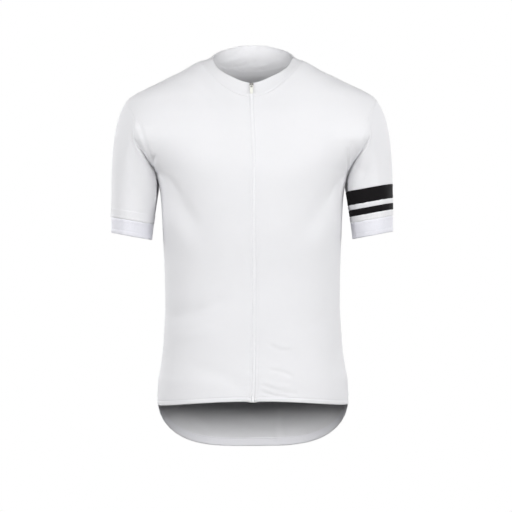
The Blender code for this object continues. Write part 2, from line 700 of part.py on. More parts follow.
def make_pull(frame, pivot):
    """The tab hangs from the bail by the bar at its upper end, which its origin lies on."""
    curve = bpy.data.curves.new("zip_pull", "CURVE")
    curve.dimensions = "2D"
    curve.fill_mode = "BOTH"
    curve.extrude = TAB_BAR / 2 * MM
    half, bar, (aside, up) = TAB_WIDTH / 2, TAB_BAR / 2, TAB_CORNER
    outline = [(-half, bar), (half, bar), (half, up - TAB_LENGTH), (half - aside, -TAB_LENGTH),
               (aside - half, -TAB_LENGTH), (-half, up - TAB_LENGTH)]
    inner = half - TAB_ARM
    window = [(-inner, -bar), (inner, -bar), (inner, -bar - TAB_WINDOW), (-inner, -bar - TAB_WINDOW)]
    for points in (outline, window):
        line = curve.splines.new("POLY")
        line.points.add(len(points) - 1)
        for point, (x, y) in zip(line.points, points, strict=True):
            point.co = (x * MM, y * MM, 0, 1)
        line.use_cyclic_u = True
    tab = bpy.data.objects.new("zip_pull", curve)
    JERSEY.objects.link(tab)
    weld = tab.modifiers.new("weld", "WELD")
    weld.merge_threshold = 0.00001
    curve.materials.append(paint("zip_pull", CREAM, 0.45))
    lean = Matrix.Rotation(math.radians(-TAB_LEAN), 4, "X")
    tab.matrix_world = frame @ Matrix.Translation(pivot * MM) @ lean


def clear_scene():
    for old in list(bpy.data.objects):
        bpy.data.objects.remove(old)


clear_scene()
JERSEY = bpy.data.collections.new("cycling_jersey")
CUTTERS = bpy.data.collections.new("joined_pieces")
bpy.context.scene.collection.children.link(JERSEY)
bpy.context.scene.collection.children.link(CUTTERS)

PANELS = {side: half_panel(side) for side in ("front", "back")}


def make_jersey():
    """Works out every panel's points and the ways through its cloth, shared at the seams, and
    makes the pieces from them."""
    front, front_ways = cloth(PANELS["front"])
    half_back, half_ways = cloth(PANELS["back"])
    back = np.concatenate([mirrored(half_back)[:, :-1], half_back], axis=1)[:, ::-1]
    back_ways = np.concatenate([mirrored(half_ways)[:, :-1], half_ways], axis=1)[:, ::-1]
    collar = collar_grid()
    collar_ways = grid_normals(collar)
    collar_ways[:, (0, -1), 0] = 0
    collar_ways = unit(collar_ways)
    seam = np.concatenate([front_ways[-1, : NECK_FRONT_CELLS + 1],
                           half_ways[-1, NECK_BACK_CELLS - 1 :: -1]])
    seam = np.concatenate([seam, seam[-2::-1] * [-1, 1, 1]])
    own = collar_ways[0].copy()
    collar_ways[0] = seam_way(own, seam)
    neck = seam_way(seam, own)
    front_ways[-1, : NECK_FRONT_CELLS + 1] = neck[: NECK_FRONT_CELLS + 1]
    middle = NECK_FRONT_CELLS + NECK_BACK_CELLS
    back_neck = neck[NECK_FRONT_CELLS : middle + NECK_BACK_CELLS + 1]
    back_ways[-1, SHOULDER_CELLS : back.shape[1] - SHOULDER_CELLS] = back_neck
    _, sleeve_ways = sleeve_grid(WIDE_HOOP_TOP, None)
    torso = torso_normal_at_armhole()
    arm = seam_way(torso, sleeve_ways[-1])
    rows = slice(-ARMHOLE_CELLS - 1, None)
    front_ways[rows, -1] = arm[ARMHOLE_CELLS::-1]
    back_arm = np.concatenate([arm[ARMHOLE_CELLS:], arm[:1]])
    back_ways[rows, 0] = back_arm
    back_ways[rows, -1] = back_arm * [-1, 1, 1]
    make_fronts(front_ways)
    make_back(back, back_ways)
    make_sleeves()
    make_collar(collar, collar_ways)
    make_pockets(back, back_ways)
    make_hem_tape(back, back_ways)
    make_zip(front, front_ways, collar, collar_ways)
    frame, pivot = make_slider(collar, collar_ways)
    make_pull(frame, pivot)


make_jersey()
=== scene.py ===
# %% [markdown]
# # A short-sleeved cycling jersey
#
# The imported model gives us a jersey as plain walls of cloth. In this lesson we dress it: fine
# panels with creases, seams and sewing, a coil zip with its slider and tab, and soft light. We
# work in millimetres, as a pattern cutter does, and turn them into metres only when a mesh is made.

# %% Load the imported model
import json
import math

import bpy
import numpy as np
from mathutils import Matrix, Vector


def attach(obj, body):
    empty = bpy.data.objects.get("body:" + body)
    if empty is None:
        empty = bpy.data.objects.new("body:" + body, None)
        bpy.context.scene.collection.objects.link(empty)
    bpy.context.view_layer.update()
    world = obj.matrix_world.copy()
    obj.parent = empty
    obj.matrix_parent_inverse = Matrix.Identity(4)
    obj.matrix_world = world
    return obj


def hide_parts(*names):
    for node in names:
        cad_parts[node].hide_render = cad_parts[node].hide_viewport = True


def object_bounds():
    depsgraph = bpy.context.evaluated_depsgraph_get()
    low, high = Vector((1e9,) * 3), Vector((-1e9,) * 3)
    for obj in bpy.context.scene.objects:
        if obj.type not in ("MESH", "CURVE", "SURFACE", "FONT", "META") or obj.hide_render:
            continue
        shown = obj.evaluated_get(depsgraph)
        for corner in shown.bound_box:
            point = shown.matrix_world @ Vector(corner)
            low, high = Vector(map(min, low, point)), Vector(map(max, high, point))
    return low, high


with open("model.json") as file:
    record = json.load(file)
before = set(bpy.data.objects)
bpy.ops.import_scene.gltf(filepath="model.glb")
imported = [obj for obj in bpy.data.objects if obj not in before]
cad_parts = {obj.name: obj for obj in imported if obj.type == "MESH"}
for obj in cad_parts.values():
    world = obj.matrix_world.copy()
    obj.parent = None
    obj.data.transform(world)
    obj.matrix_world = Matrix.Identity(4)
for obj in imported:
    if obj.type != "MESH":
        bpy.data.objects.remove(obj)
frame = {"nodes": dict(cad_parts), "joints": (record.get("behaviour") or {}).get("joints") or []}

MM = 0.001
cad_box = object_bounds()
print("The packed model has", len(frame["nodes"]), "nodes")

# %% [markdown]
# ## The form of the body
#
# A jersey that is filled out has one smooth form. We could sculpt it, but three short tables do the
# same and stay easy to change: how wide the form is at each height, how deep it is in front and
# behind, and how square its sections are. A curve through each table fills in the rest.

# %% The tables of the form, in millimetres from the sides of the neck
HALF_WIDTHS = [
    # height, half width
    (-740, 176), (-620, 176), (-585, 174.5), (-568, 171), (-546, 167.5), (-525, 165), (-490, 163),
    (-446, 161), (-400, 161.5), (-357, 163), (-300, 165.5), (-255, 167), (-230, 168.5),
    (-205, 172), (-187, 184), (-157, 216), (-135, 242), (-120, 249), (-101, 246), (-90, 242),
    (-78, 236), (-66, 227.5), (-59, 218), (-49.3, 200), (-38.1, 176), (-26.7, 153.6),
    (-15.3, 129.5), (-1.8, 107), (8, 85), (13, 72),
]
DEPTHS = [
    # height, how far the front stands out from the side seam, and the back
    (-740, 108, 106), (-620, 108, 98), (-520, 105, 86), (-420, 105, 83), (-300, 114, 98),
    (-210, 118, 111), (-150, 106, 114), (-100, 91, 108), (-68, 75, 100), (-54, 69, 95),
    (-30, 58, 84), (-6, 47, 70), (4, 42, 64), (13, 36, 56),
]
SQUARENESS = [
    # height, exponent of the section: 2 is an ellipse, and more has flatter sides
    (-740, 2.3), (-260, 2.4), (-200, 2.6), (-157, 2.6), (-128, 2.4), (-87, 2.2), (-60, 2.05),
    (-40, 2.0), (13, 2.0),
]
FACING = {"front": -1.0, "back": 1.0}


# %% A curve through a table, and two small helpers
def smooth(rows, column=1):
    """A curve through a table's rows that has no bumps of its own."""
    table = np.array([[row[0], row[column]] for row in rows], float)
    x, y = table[np.argsort(table[:, 0])].T
    step = np.diff(x)
    rise = np.diff(y) / step
    product = rise[:-1] * rise[1:]
    total = np.where(product > 0, rise[:-1] + rise[1:], 1)
    slope = np.concatenate([rise[:1], np.where(product > 0, 2 * product / total, 0), rise[-1:]])

    def at(value):
        value = np.clip(value, x[0], x[-1])
        i = np.clip(np.searchsorted(x, value) - 1, 0, len(step) - 1)
        t = (value - x[i]) / step[i]
        ends = y[i] * (1 + 2 * t) * (1 - t) ** 2 + y[i + 1] * t * t * (3 - 2 * t)
        return ends + step[i] * t * (1 - t) * (slope[i] * (1 - t) - slope[i + 1] * t)

    return at


def ease(t):
    t = np.clip(t, 0, 1)
    return t * t * (3 - 2 * t)


def unit(vectors):
    return vectors / np.linalg.norm(vectors, axis=-1, keepdims=True)


MIRROR = np.array([-1, 1, 1])
half_width = smooth(HALF_WIDTHS)
depth_at = {"front": smooth(DEPTHS, 1), "back": smooth(DEPTHS, 2)}
squareness = smooth(SQUARENESS)
print(f"The chest is {2 * half_width(-255):.0f} mm wide")

# %% [markdown]
# Each section is a superellipse, like a rounded rectangle. We find a point on it from the distance
# `s` round the cloth from the centre line, because that is how a panel is cut: flat, with its width
# measured along the cloth. The way out of the form comes from how its level changes nearby.


# %% Points on the form
def quarter_girth(z, side):
    """About how long a section is from the centre line to the side."""
    return 1.1 * np.hypot(half_width(z), depth_at[side](z))


def on_section(s, z, side):
    """The point at about the distance s from the centre line, round the section at height z."""
    t = np.clip(s / quarter_girth(z, side), 0, 1)
    n = squareness(z)
    turn = t ** (n / 2) / (t ** (n / 2) + (1 - t) ** (n / 2))
    x = half_width(z) * np.sin(turn * np.pi / 2) ** (2 / n)
    y = depth_at[side](z) * np.cos(turn * np.pi / 2).clip(0) ** (2 / n)
    return np.stack([x, FACING[side] * y, z], axis=-1)


def s_of(x, z, side):
    """The distance s, as on_section takes it, of the point at x on the section at height z."""
    n = squareness(z)
    turn = 2 / np.pi * np.arcsin(np.clip(np.abs(x) / half_width(z), 0, 1) ** (n / 2))
    ratio = (turn / np.maximum(1 - turn, 1e-12)) ** (2 / n)
    return np.where(turn >= 1, 1, ratio / (1 + ratio)) * quarter_girth(z, side)


def form_normal(points):
    """The outward direction of the form at points on it."""
    x, y, z = np.moveaxis(points, -1, 0)

    def level(x, y, z):
        n = squareness(z)
        depth = np.where(y < 0, depth_at["front"](z), depth_at["back"](z))
        return (np.abs(x) / half_width(z)) ** n + (np.abs(y) / depth) ** n

    h = 0.25
    slopes = [level(x + h, y, z) - level(x - h, y, z), level(x, y + h, z) - level(x, y - h, z),
              level(x, y, z + h) - level(x, y, z - h)]
    return unit(np.stack(slopes, axis=-1))


# %% [markdown]
# ## Creases
#
# Cloth that is stretched over a form hardly wrinkles, but it is never quite even. It drags from the
# underarm towards the waist, bunches a little where the sleeve is set in, and ripples beside the
# zip, which can't stretch as the knit does. A simulation would put such creases anywhere. We place
# each one as a soft trough or ridge between two points, and keep them uneven.

# %% The creases of the body
DRAG_FOLDS = [
    # side, x and height of one end, x and height of the other, half width, depth; on both sides
    ("front", 156, -228, 116, -288, 19, -3.0),
    ("front", 158, -250, 120, -330, 20, 1.6),
    ("back", 190, -160, 130, -290, 18, -3.2),
    ("back", 150, -330, 60, -360, 20, -2.2),
    ("back", 150, -385, 50, -405, 18, -1.8),
]
FOLD_FADE = 25
FOLD_END = 1.5
CREASES = [
    # side, x and height of one end, x and height of the other, sideways bow, half width, depth
    ("front", -202, -117, -176, -180, 1, 1.9, -1.7),
    ("front", -208, -122, -183, -172, 0, 3.2, 1.5),
    ("front", -173, -176, -175, -204, 1, 2.2, -2.2),
    ("front", -209, -147, -175, -204, 0, 24, 7.5),
    ("front", 209, -147, 175, -204, 0, 24, 8.5),
    ("front", -148, -222, -120, -272, 3, 12.0, -1.5),
    ("front", 171, -166, 170, -200, 1, 2.0, -1.8),
    ("front", 178, -154, 175, -192, -1, 2.0, -1.7),
    ("front", 185, -160, 180, -184, 0, 1.8, -1.4),
    ("front", 174.5, -160, 172.5, -190, 0, 1.6, 1.0),
    ("front", 166, -210, 142, -252, 3, 5.0, -1.2),
    ("front", 208, -112, 192, -158, 0, 3.4, 1.2),
    ("front", -168, -205, -136, -240, -4, 6.0, -1.2),
    ("front", -136, -464, -66, -440, 6, 15.0, -2.0),
    ("front", -128, -500, -84, -492, 3, 10.0, 0.8),
    ("front", -90, -560, -28, -585, -4, 15.0, -1.3),
    ("front", 32, -517, 64, -526, 4, 3.2, -0.6),
    ("front", 34, -510, 62, -518, 3, 3.2, 0.4),
    ("front", 35, -562, 66, -571, -2, 3.2, -0.9),
    ("front", 21, -589, 73, -603, 3, 3.0, -1.0),
    ("front", 24, -583, 60, -591, 2, 3.0, 0.8),
    ("front", 18, -600, 56, -608, 2, 2.6, -1.0),
    ("front", 22, -595, 50, -600, 1, 2.4, 0.7),
    ("front", 150, -535, 172, -606, 5, 9.0, -1.4),
    ("front", -160, -548, -174, -606, -4, 8.0, -1.2),
    ("front", 120, -470, 84, -486, -4, 12.0, -1.0),
    ("front", 60, -92, 96, -52, -3, 7.0, -0.7),
    ("front", -58, -94, -92, -56, 3, 8.0, -0.6),
    ("back", 206, -122, 184, -176, 2, 3.0, -1.1),
    ("back", -203, -118, -180, -170, -2, 3.0, -1.2),
    ("back", 178, -160, 172, -200, 1, 2.6, -1.6),
    ("back", -174, -158, -172, -198, -1, 2.6, -1.5),
    ("back", -30, -425, 70, -440, 6, 9.0, -1.3),
    ("back", -86, -452, 10, -464, -5, 8.0, -1.1),
    ("back", 24, -468, 118, -452, -6, 8.0, -1.2),
    ("back", -136, -470, -70, -486, 4, 7.0, -0.9),
    ("back", 30, -388, -46, -396, 4, 11.0, 0.9),
    ("back", -150, -300, -96, -352, -5, 13.0, -1.4),
    ("back", 154, -296, 112, -344, 5, 12.0, -1.5),
    ("back", -46, -17, 46, -17, 0, 10.0, -2.2),
    ("back", 42, -652, 45, -704, 1, 3.6, -1.0),
    ("back", 54, -648, 60, -698, 1, 4.2, 0.9),
    ("back", 108, -688, 148, -652, 3, 4.6, -1.0),
    ("back", -96, -684, -138, -640, -4, 7.0, -1.0),
]


def fold(x, y, ends, bow, width):
    """The shape of a fold between two points of a plane: 1 along its line and 0 far from it. The
    line may bow sideways, most in the middle of its length."""
    x0, y0, x1, y1 = ends
    step = np.array([x1 - x0, y1 - y0], float)
    length = np.hypot(*step)
    step = step / length
    ahead = (x - x0) * step[0] + (y - y0) * step[1]
    aside = (x - x0) * step[1] - (y - y0) * step[0]
    share = np.clip(ahead / length, 0, 1)
    aside = aside - bow * 4 * share * (1 - share)
    beyond = np.maximum(np.abs(ahead - length / 2) - length / 2, 0)
    return np.exp(-(aside / width) ** 2 - (beyond / (FOLD_END * width)) ** 2)


def trough(points, side, x0, z0, x1, z1, bow, width, depth):
    """How far one crease moves the cloth at points of the form, on one side of the body."""
    x, y, z = np.moveaxis(points, -1, 0)
    shape = fold(x, z, (x0, z0, x1, z1), bow, width)
    return depth * shape * ease(FACING[side] * y / FOLD_FADE)


ZIP_WANDER = [
    # height, how far the zip hangs to the wearer's left there
    (-740, 0), (-625, 0.2), (-520, 2.4), (-400, 3.4), (-200, 3.6), (-130, 2.2), (-78, 0), (13, 0),
]
WANDER_REACH = 80
zip_wander = smooth(ZIP_WANDER)


def cloth(points):
    """Points of the form with every crease, and the direction out of the cloth there. The zip and
    the cloth beside it hang a little to one side."""
    normals = form_normal(points)
    height = np.zeros(points.shape[:-1])
    for side, x0, z0, x1, z1, width, depth in DRAG_FOLDS:
        for hand in (-1, 1):
            height += trough(points, side, hand * x0, z0, hand * x1, z1, 0, width, depth)
    for row in CREASES:
        height += trough(points, *row)
    x, y, z = np.moveaxis(points, -1, 0)
    aside = zip_wander(z) * np.exp(-(x / WANDER_REACH) ** 2) * ease(-y / FOLD_FADE)
    moved = points + normals * height[..., None]
    moved[..., 0] += aside
    return moved, normals


print(len(DRAG_FOLDS) * 2 + len(CREASES), "creases on the body")

# %% [markdown]
# ## The lines where the panels are cut
#
# Neckline, armholes, shoulder and side seams and the two hems are curves on the form. The sleeve is
# set into the armhole, so both pieces have to run along exactly the same curve.

# %% The sizes of the cut, in millimetres
NECK_FRONT = 75
NECK_BACK = 70
SIDE_NECK_HEIGHT = 3.6
NECK_HALF_WIDTH = float(half_width(SIDE_NECK_HEIGHT))
ARMHOLE_TOP = -66
UNDERARM = -205
ARMHOLE_REACH = {"front": 62, "back": 70}
SIDE_HEM = -630
FRONT_HEM_RISE = 13.5
HEM_CORNER_DROP = 2.2
HEM_CORNER_WIDTH = 4.5
TAIL_DROP = 90
TAIL_SQUARENESS = 3.3
HEM_BAND = 15
POCKET_MOUTH = -500
CENTRE_UNDERARM = -262
CLOTH = 1.2
COLLAR_CLOTH = 1.6
CUFF_CLOTH = 1.7
POCKET_CLOTH = 1.1
TAPE = 0.8
SEWN_GAP = 0.1
RIM_ROUND = 0.4
LAYER_GAP = 0.32
ZIP_HALF_OPENING = 2.4
DENSE = 900


# %% Neckline, armhole, seams and hems
def armhole(turn, side):
    """The armhole at an angle from its top, 0, round that side of the arm to the underarm, pi."""
    z = (ARMHOLE_TOP + UNDERARM) / 2 + (ARMHOLE_TOP - UNDERARM) / 2 * np.cos(turn)
    y = ARMHOLE_REACH[side] * np.sin(turn).clip(0) ** (1.25 + 0.35 * np.cos(turn))
    n = squareness(z)
    x = half_width(z) * (1 - (y / depth_at[side](z)) ** n) ** (1 / n)
    return np.stack([x, FACING[side] * y, z], axis=-1)


def neckline(angle):
    """The collar's seam at an angle round the neck, from 0 at the front to pi at the back."""
    x = NECK_HALF_WIDTH * np.sin(angle)
    front = np.cos(angle) > 0
    y = np.where(front, -NECK_FRONT, -NECK_BACK) * np.cos(angle)
    low, high = np.full(x.shape, -120.0), np.full(x.shape, SIDE_NECK_HEIGHT)
    for _ in range(50):
        z = (low + high) / 2
        depth = np.where(front, depth_at["front"](z), depth_at["back"](z))
        n = squareness(z)
        outside = (x / half_width(z)) ** n + (np.abs(y) / depth) ** n > 1
        high = np.where(outside, z, high)
        low = np.where(outside, low, z)
    return np.stack([x, y, (low + high) / 2], axis=-1)


def widest(z):
    """The side seam or the shoulder seam, which both lie where the form is widest."""
    return np.stack([half_width(z), 0 * z, z], axis=-1)


def tail(t):
    """The hem of the back, from the centre at 0 to the side seam at 1."""
    turn = t ** (TAIL_SQUARENESS / 2) / (t ** (TAIL_SQUARENESS / 2) + (1 - t))
    x = half_width(SIDE_HEM) * np.sin(turn * np.pi / 2) ** (2 / TAIL_SQUARENESS)
    z = SIDE_HEM - TAIL_DROP * np.cos(turn * np.pi / 2)
    return np.stack([s_of(x, z, "back"), z], axis=-1)


def front_hem(t):
    """The hem of a front, from the zip to the side seam. Its corner at the zip hangs lower."""
    start = ZIP_HALF_OPENING
    s = start + t * (quarter_girth(SIDE_HEM, "front") - start)
    x = on_section(s, np.full(s.shape, float(SIDE_HEM)), "front")[..., 0]
    corner = HEM_CORNER_DROP * np.exp(-((s - start) / HEM_CORNER_WIDTH) ** 2)
    z = SIDE_HEM + FRONT_HEM_RISE * (1 - (x / half_width(SIDE_HEM)) ** 2) - corner
    return np.stack([s_of(x, z, "front"), z], axis=-1)


# %% [markdown]
# ## From four curves to a panel
#
# A panel is a grid of points between four curves: hem, neck and shoulder, centre, and side seam with
# armhole. The rows and columns are close together along every edge, because that is where the small
# things are, such as the roll of a seam and the furrow that a line of stitches presses.

# %% Lines across a stretch of cloth
EDGE_LINES = (0.4, 0.9, 1.6, 2.6, 3.8, 4.6, 5.2, 5.8, 7.0)
HEM_LINES = (0.4, 0.9, 1.6, 2.6, 4.0, 5.5, 6.8, 7.5, 8.2, 9.5, 11.0, 12.4, 13.0, 13.6, 15.0)
SHORT = 0.45


def lines_over(length, cells, start=True, end=True):
    """Distances along a stretch: close together at the ends that are edges, and even between."""
    near = np.array(EDGE_LINES) * min(1, SHORT * length / EDGE_LINES[-1])
    first = near if start else np.zeros(0)
    last = length - near[::-1] if end else np.zeros(0)
    low = first[-1] if start else 0
    high = last[0] if end else length
    middle = np.linspace(low, high, cells + 1)
    if start:
        middle = middle[1:]
    if end:
        middle = middle[:-1]
    zero = [0.0] if start else []
    return np.concatenate([zero, first, middle, last, [length] if end else []])


def run_of(curve):
    """The length from a curve's start to each of its points."""
    steps = np.linalg.norm(np.diff(curve, axis=0), axis=1)
    return np.concatenate([[0], np.cumsum(steps)])


def read_at(at, known, points):
    """Points, or ways, that are known at some places of a line, read at others."""
    return np.stack([np.interp(at, known, points[:, axis]) for axis in range(3)], axis=-1)


def values_along(curve, values, cells, start=False, end=False):
    """The values that belong to a curve's points, where the lines of lines_over cross it."""
    run = run_of(curve)
    at = lines_over(run[-1], cells, start, end)
    return np.interp(at, run, values)


# %% A half panel of the body
NECK_CELLS = {"front": 34, "back": 30}
SHOULDER_CELLS = 34
ARMHOLE_CELLS = 62
MIDDLE_CELLS = 66
POCKET_CELLS = 36


def flat(points, side):
    """The points of the form as s and height, the plane that the panels are laid out in."""
    return np.stack([s_of(points[:, 0], points[:, 2], side), points[:, 2]], axis=-1)


def half_panel(side):
    """Points of a front or of half of the back, from the hem up and from the centre out, with the
    angles of the neckline and the turns of the armhole that its edges use."""
    front = side == "front"
    dense = np.linspace(0, 1, DENSE)
    start = math.asin(ZIP_HALF_OPENING / NECK_HALF_WIDTH) if front else np.pi
    angles = start + (np.pi / 2 - start) * dense
    angles = values_along(neckline(angles), angles, NECK_CELLS[side], start=front)
    heights = SIDE_NECK_HEIGHT + (ARMHOLE_TOP - SIDE_NECK_HEIGHT) * dense
    shoulder = values_along(widest(heights), heights, SHOULDER_CELLS, end=True)
    top = flat(np.concatenate([neckline(angles)[:-1], widest(shoulder)]), side)
    turns = np.pi * (1 - dense)
    turns = values_along(armhole(turns, side), turns, ARMHOLE_CELLS, end=True)
    arm = flat(armhole(turns, side), side)
    hem = front_hem if front else tail
    run = run_of(hem(dense))
    columns = NECK_CELLS[side] + SHOULDER_CELLS
    bottom = hem(np.interp(lines_over(run[-1], columns, front), run, dense))

    def up(hem_z, underarm_z):
        band = hem_z + np.array((0, *HEM_LINES))
        pocket = np.linspace(band[-1], POCKET_MOUTH, POCKET_CELLS + 1)[1:]
        above = np.linspace(POCKET_MOUTH, underarm_z, MIDDLE_CELLS + 1)[1:]
        return np.concatenate([band, pocket, above])

    side_z = up(SIDE_HEM, UNDERARM)
    edge = np.concatenate([np.stack([quarter_girth(side_z, side), side_z], axis=-1), arm[1:]])
    share = (turns[0] - turns[1:]) / np.pi
    rise = CENTRE_UNDERARM + (top[0, 1] - CENTRE_UNDERARM) * share
    centre_z = np.concatenate([up(bottom[0, 1], CENTRE_UNDERARM), rise])
    centre = np.stack([np.full(len(centre_z), bottom[0, 0]), centre_z], axis=-1)
    grid = fill(bottom, top, centre, edge)
    return on_section(grid[..., 0], grid[..., 1], side), angles, turns


def fill(bottom, top, centre, edge):
    """A grid between four curves. The hem's shape is kept by the hem band and fades from there to
    the height of the pockets' mouth. The top shapes only what is near."""
    u = ((bottom[:, 0] - bottom[0, 0]) / (bottom[-1, 0] - bottom[0, 0]))[None, :, None]
    rows = np.arange(len(centre))[:, None, None]
    near_bottom = 1 - ease((rows - len(HEM_LINES)) / POCKET_CELLS)
    near_top = (rows / (len(centre) - 1)) ** 3
    grid = (1 - u) * centre[:, None] + u * edge[:, None] + near_bottom * bottom + near_top * top
    left = near_bottom * bottom[0] + near_top * top[0]
    right = near_bottom * bottom[-1] + near_top * top[-1]
    return grid - (1 - u) * left - u * right


form_points, neck_angles, arm_turns = {}, {}, {}
for side in ("front", "back"):
    form_points[side], neck_angles[side], arm_turns[side] = half_panel(side)
    print("A half", side, "is a grid of", " x ".join(map(str, form_points[side].shape[:2])), "points")

# %% [markdown]
# ## The sleeves
#
# A set-in sleeve leaves the shoulder along the body's own surface and then hangs down to its hem.
# Each line down the sleeve is a Bezier curve from a point of the armhole to a point of the hem. The
# bands near the hem are cut by their distance from it, so they all run level.

# %% The sizes of the sleeves
CUFF_CENTRE = (223, -319)
CUFF_HALF_WIDTH = 38
CUFF_HALF_DEPTH = 54
CUFF_TILT = 7
CUFF = 28
STRIP_TOP = 40
NARROW_HOOP_TOP = 52
HOOP_GAP_TOP = 61
WIDE_HOOP_TOP = 87
SLEEVE_LINES = {
    # lines down the sleeve: their value along the top of the arm, and along the underarm
    "x they leave the armhole with": (0.79, 0.05),
    "z they leave the armhole with": (-0.62, -1.0),
    "x they reach the hem with": (0.0, 0.11),
    "share of their length that they leave straight for": (0.2, 0.26),
    "share of their length that they arrive straight for": (0.5, 0.3),
}
SLEEVE_HUGS_TO = 60
SLEEVE_FREE_FROM = 150
ROUND_CELLS = 64
LINE_POINTS = DENSE // 3
SLEEVE_ROWS = 52
BAND_ROW = 2.6
BAND_EXTRA_ROWS = 7
WIDE_BAND = 20
FOOT_LINES = (0, *EDGE_LINES, 9, 11, 12.6, 13.4, 14.1, 14.7, 15.2, 15.8, 16.4, 17.1, 18, 19.5)
EVENING = 24
EVEN_FROM = 0.16
SLEEVE_FOLDS = [
    # sleeve, degrees from the top of the arm towards the front and mm down from the armhole at one
    # end, the same at the other, half width, depth
    ("right", 118, 14, 96, 52, 8, -0.5),
    ("right", 142, 30, 136, 210, 20, 4.5),
    ("right", 152, 24, 150, 60, 13, 4.0),
    ("right", 112, 4, 140, 46, 12, 3.0),
    ("right", -120, 14, -92, 66, 8, -1.6),
    ("right", -148, 12, -128, 60, 6, -1.2),
    ("right", -60, 96, -110, 112, 9, -0.8),
    ("left", 128, 10, 112, 40, 6, -1.6),
    ("left", 142, 30, 136, 210, 20, 4.5),
    ("left", 152, 24, 150, 56, 13, 3.6),
    ("left", 112, 4, 140, 46, 12, 3.0),
    ("left", 104, 22, 84, 52, 9, 0.6),
    ("left", -124, 12, -98, 58, 8, -1.5),
    ("left", -150, 10, -134, 54, 6, -1.2),
]


# %% Lines down the sleeve
def sleeve_line(turn, side):
    """Lines down the sleeve, one for each angle round the armhole, as points from the hem up."""
    start, normals = cloth(armhole(turn, side))
    cos, sin = np.cos(turn), FACING[side] * np.sin(turn)
    end = np.stack([CUFF_CENTRE[0] + CUFF_HALF_WIDTH * cos, CUFF_HALF_DEPTH * sin,
                    CUFF_CENTRE[1] + CUFF_TILT * cos], axis=-1)
    leave_x, leave_z, arrive_x, leave_share, arrive_share = (
        under + (top - under) * (1 + cos) / 2 for top, under in SLEEVE_LINES.values()
    )
    leave = np.stack([leave_x, 0.1 * sin, leave_z], axis=-1)
    hug = 1 - ease((np.degrees(turn) - SLEEVE_HUGS_TO) / (SLEEVE_FREE_FROM - SLEEVE_HUGS_TO))
    leave = unit(leave - normals * (hug * (leave * normals).sum(-1))[:, None])
    arrive = unit(np.stack([arrive_x, 0 * sin, -np.ones(len(turn))], axis=-1))
    span = np.linalg.norm(end - start, axis=-1)
    near = start + leave * (span * leave_share)[:, None]
    far = end - arrive * (span * arrive_share)[:, None]
    t = np.linspace(1, 0, LINE_POINTS)[:, None, None]
    return start * (1 - t) ** 3 + 3 * near * t * (1 - t) ** 2 + 3 * far * t**2 * (1 - t) + end * t**3


def sleeve_lines(hand):
    """All the lines of one sleeve, on the left of the body, in the order top, front, under, back.
    The right sleeve's creases differ, so it has lines of its own and is mirrored later."""
    turns = np.linspace(0, np.pi, ROUND_CELLS + 1)
    line = mirrored_line if hand == "right" else sleeve_line
    lines = np.concatenate([line(turns, "front"), line(turns[-2:0:-1], "back")], axis=1)
    even = lines
    for _ in range(EVENING):
        even = (2 * even + np.roll(even, 1, axis=1) + np.roll(even, -1, axis=1)) / 4
    away = ease((1 - np.linspace(0, 1, len(lines))) / EVEN_FROM)[:, None, None]
    return lines + (even - lines) * away


def mirrored_line(turn, side):
    """The right sleeve's lines, brought to the left: only the creases at the armhole differ."""
    base = armhole(turn, side)
    shift = cloth(base * MIRROR)[0] * MIRROR - cloth(base)[0]
    fade = np.linspace(0, 1, LINE_POINTS)[:, None, None] ** 3
    return sleeve_line(turn, side) + shift * fade


def piece_of_sleeve(lines, low, high):
    """Rings between two distances from the hem, and the way out of the cloth. A high of None means
    up to the armhole."""
    steps = np.linalg.norm(np.diff(lines, axis=0), axis=2)
    run = np.concatenate([np.zeros((1, lines.shape[1])), np.cumsum(steps, axis=0)])
    rows = SLEEVE_ROWS if high is None else max(3, round((high - low) / BAND_ROW))
    grid = []
    for column in range(lines.shape[1]):
        if high is None:
            length = run[-1, column] - low - FOOT_LINES[-1]
            rest = FOOT_LINES[-1] + lines_over(length, rows, start=False)
            at = low + np.concatenate([FOOT_LINES[:-1], rest])
        elif high - low > WIDE_BAND:
            at = low + lines_over(high - low, rows)
        else:
            at = low + (high - low) * ease(np.linspace(0, 1, rows + BAND_EXTRA_ROWS))
        grid.append(read_at(at, run[:, column], lines[:, column]))
    grid = np.stack(grid, axis=1)
    up = np.gradient(grid, axis=0)
    around = np.roll(grid, -1, axis=1) - np.roll(grid, 1, axis=1)
    return grid, unit(np.cross(up, around))


lines_of_sleeve = {hand: sleeve_lines(hand) for hand in ("left", "right")}
print("Each sleeve has", lines_of_sleeve["left"].shape[1], "lines")

# %% [markdown]
# ## Which way is through the cloth at a seam
#
# A wall of cloth needs an outer and an inner skin. Where two panels meet at an angle, both have to
# go through the cloth the same way, halfway between their own, or a crack opens. Under the arm the
# sleeve folds back against the body, and there each piece keeps its own way.


# %% The shared way at a seam
FOLDED_BACK = 0.5
STEEPEST = 0.75


def seam_way(own, other):
    """The way halfway between a piece's own and its neighbour's, and its own where the cloth folds
    back. It is lengthened where it slants, so that the wall keeps its thickness."""
    share = ease((own * other).sum(-1) / FOLDED_BACK)[..., None]
    way = unit(own + share * other)
    return way / np.maximum((way * own).sum(-1), STEEPEST)[..., None]


# %% [markdown]
# ## The collar
#
# The low stand collar is one strip from the zip round the neck to the zip again. Its lower edge runs
# along the neckline and its upper edge dips at the front and stands up behind.

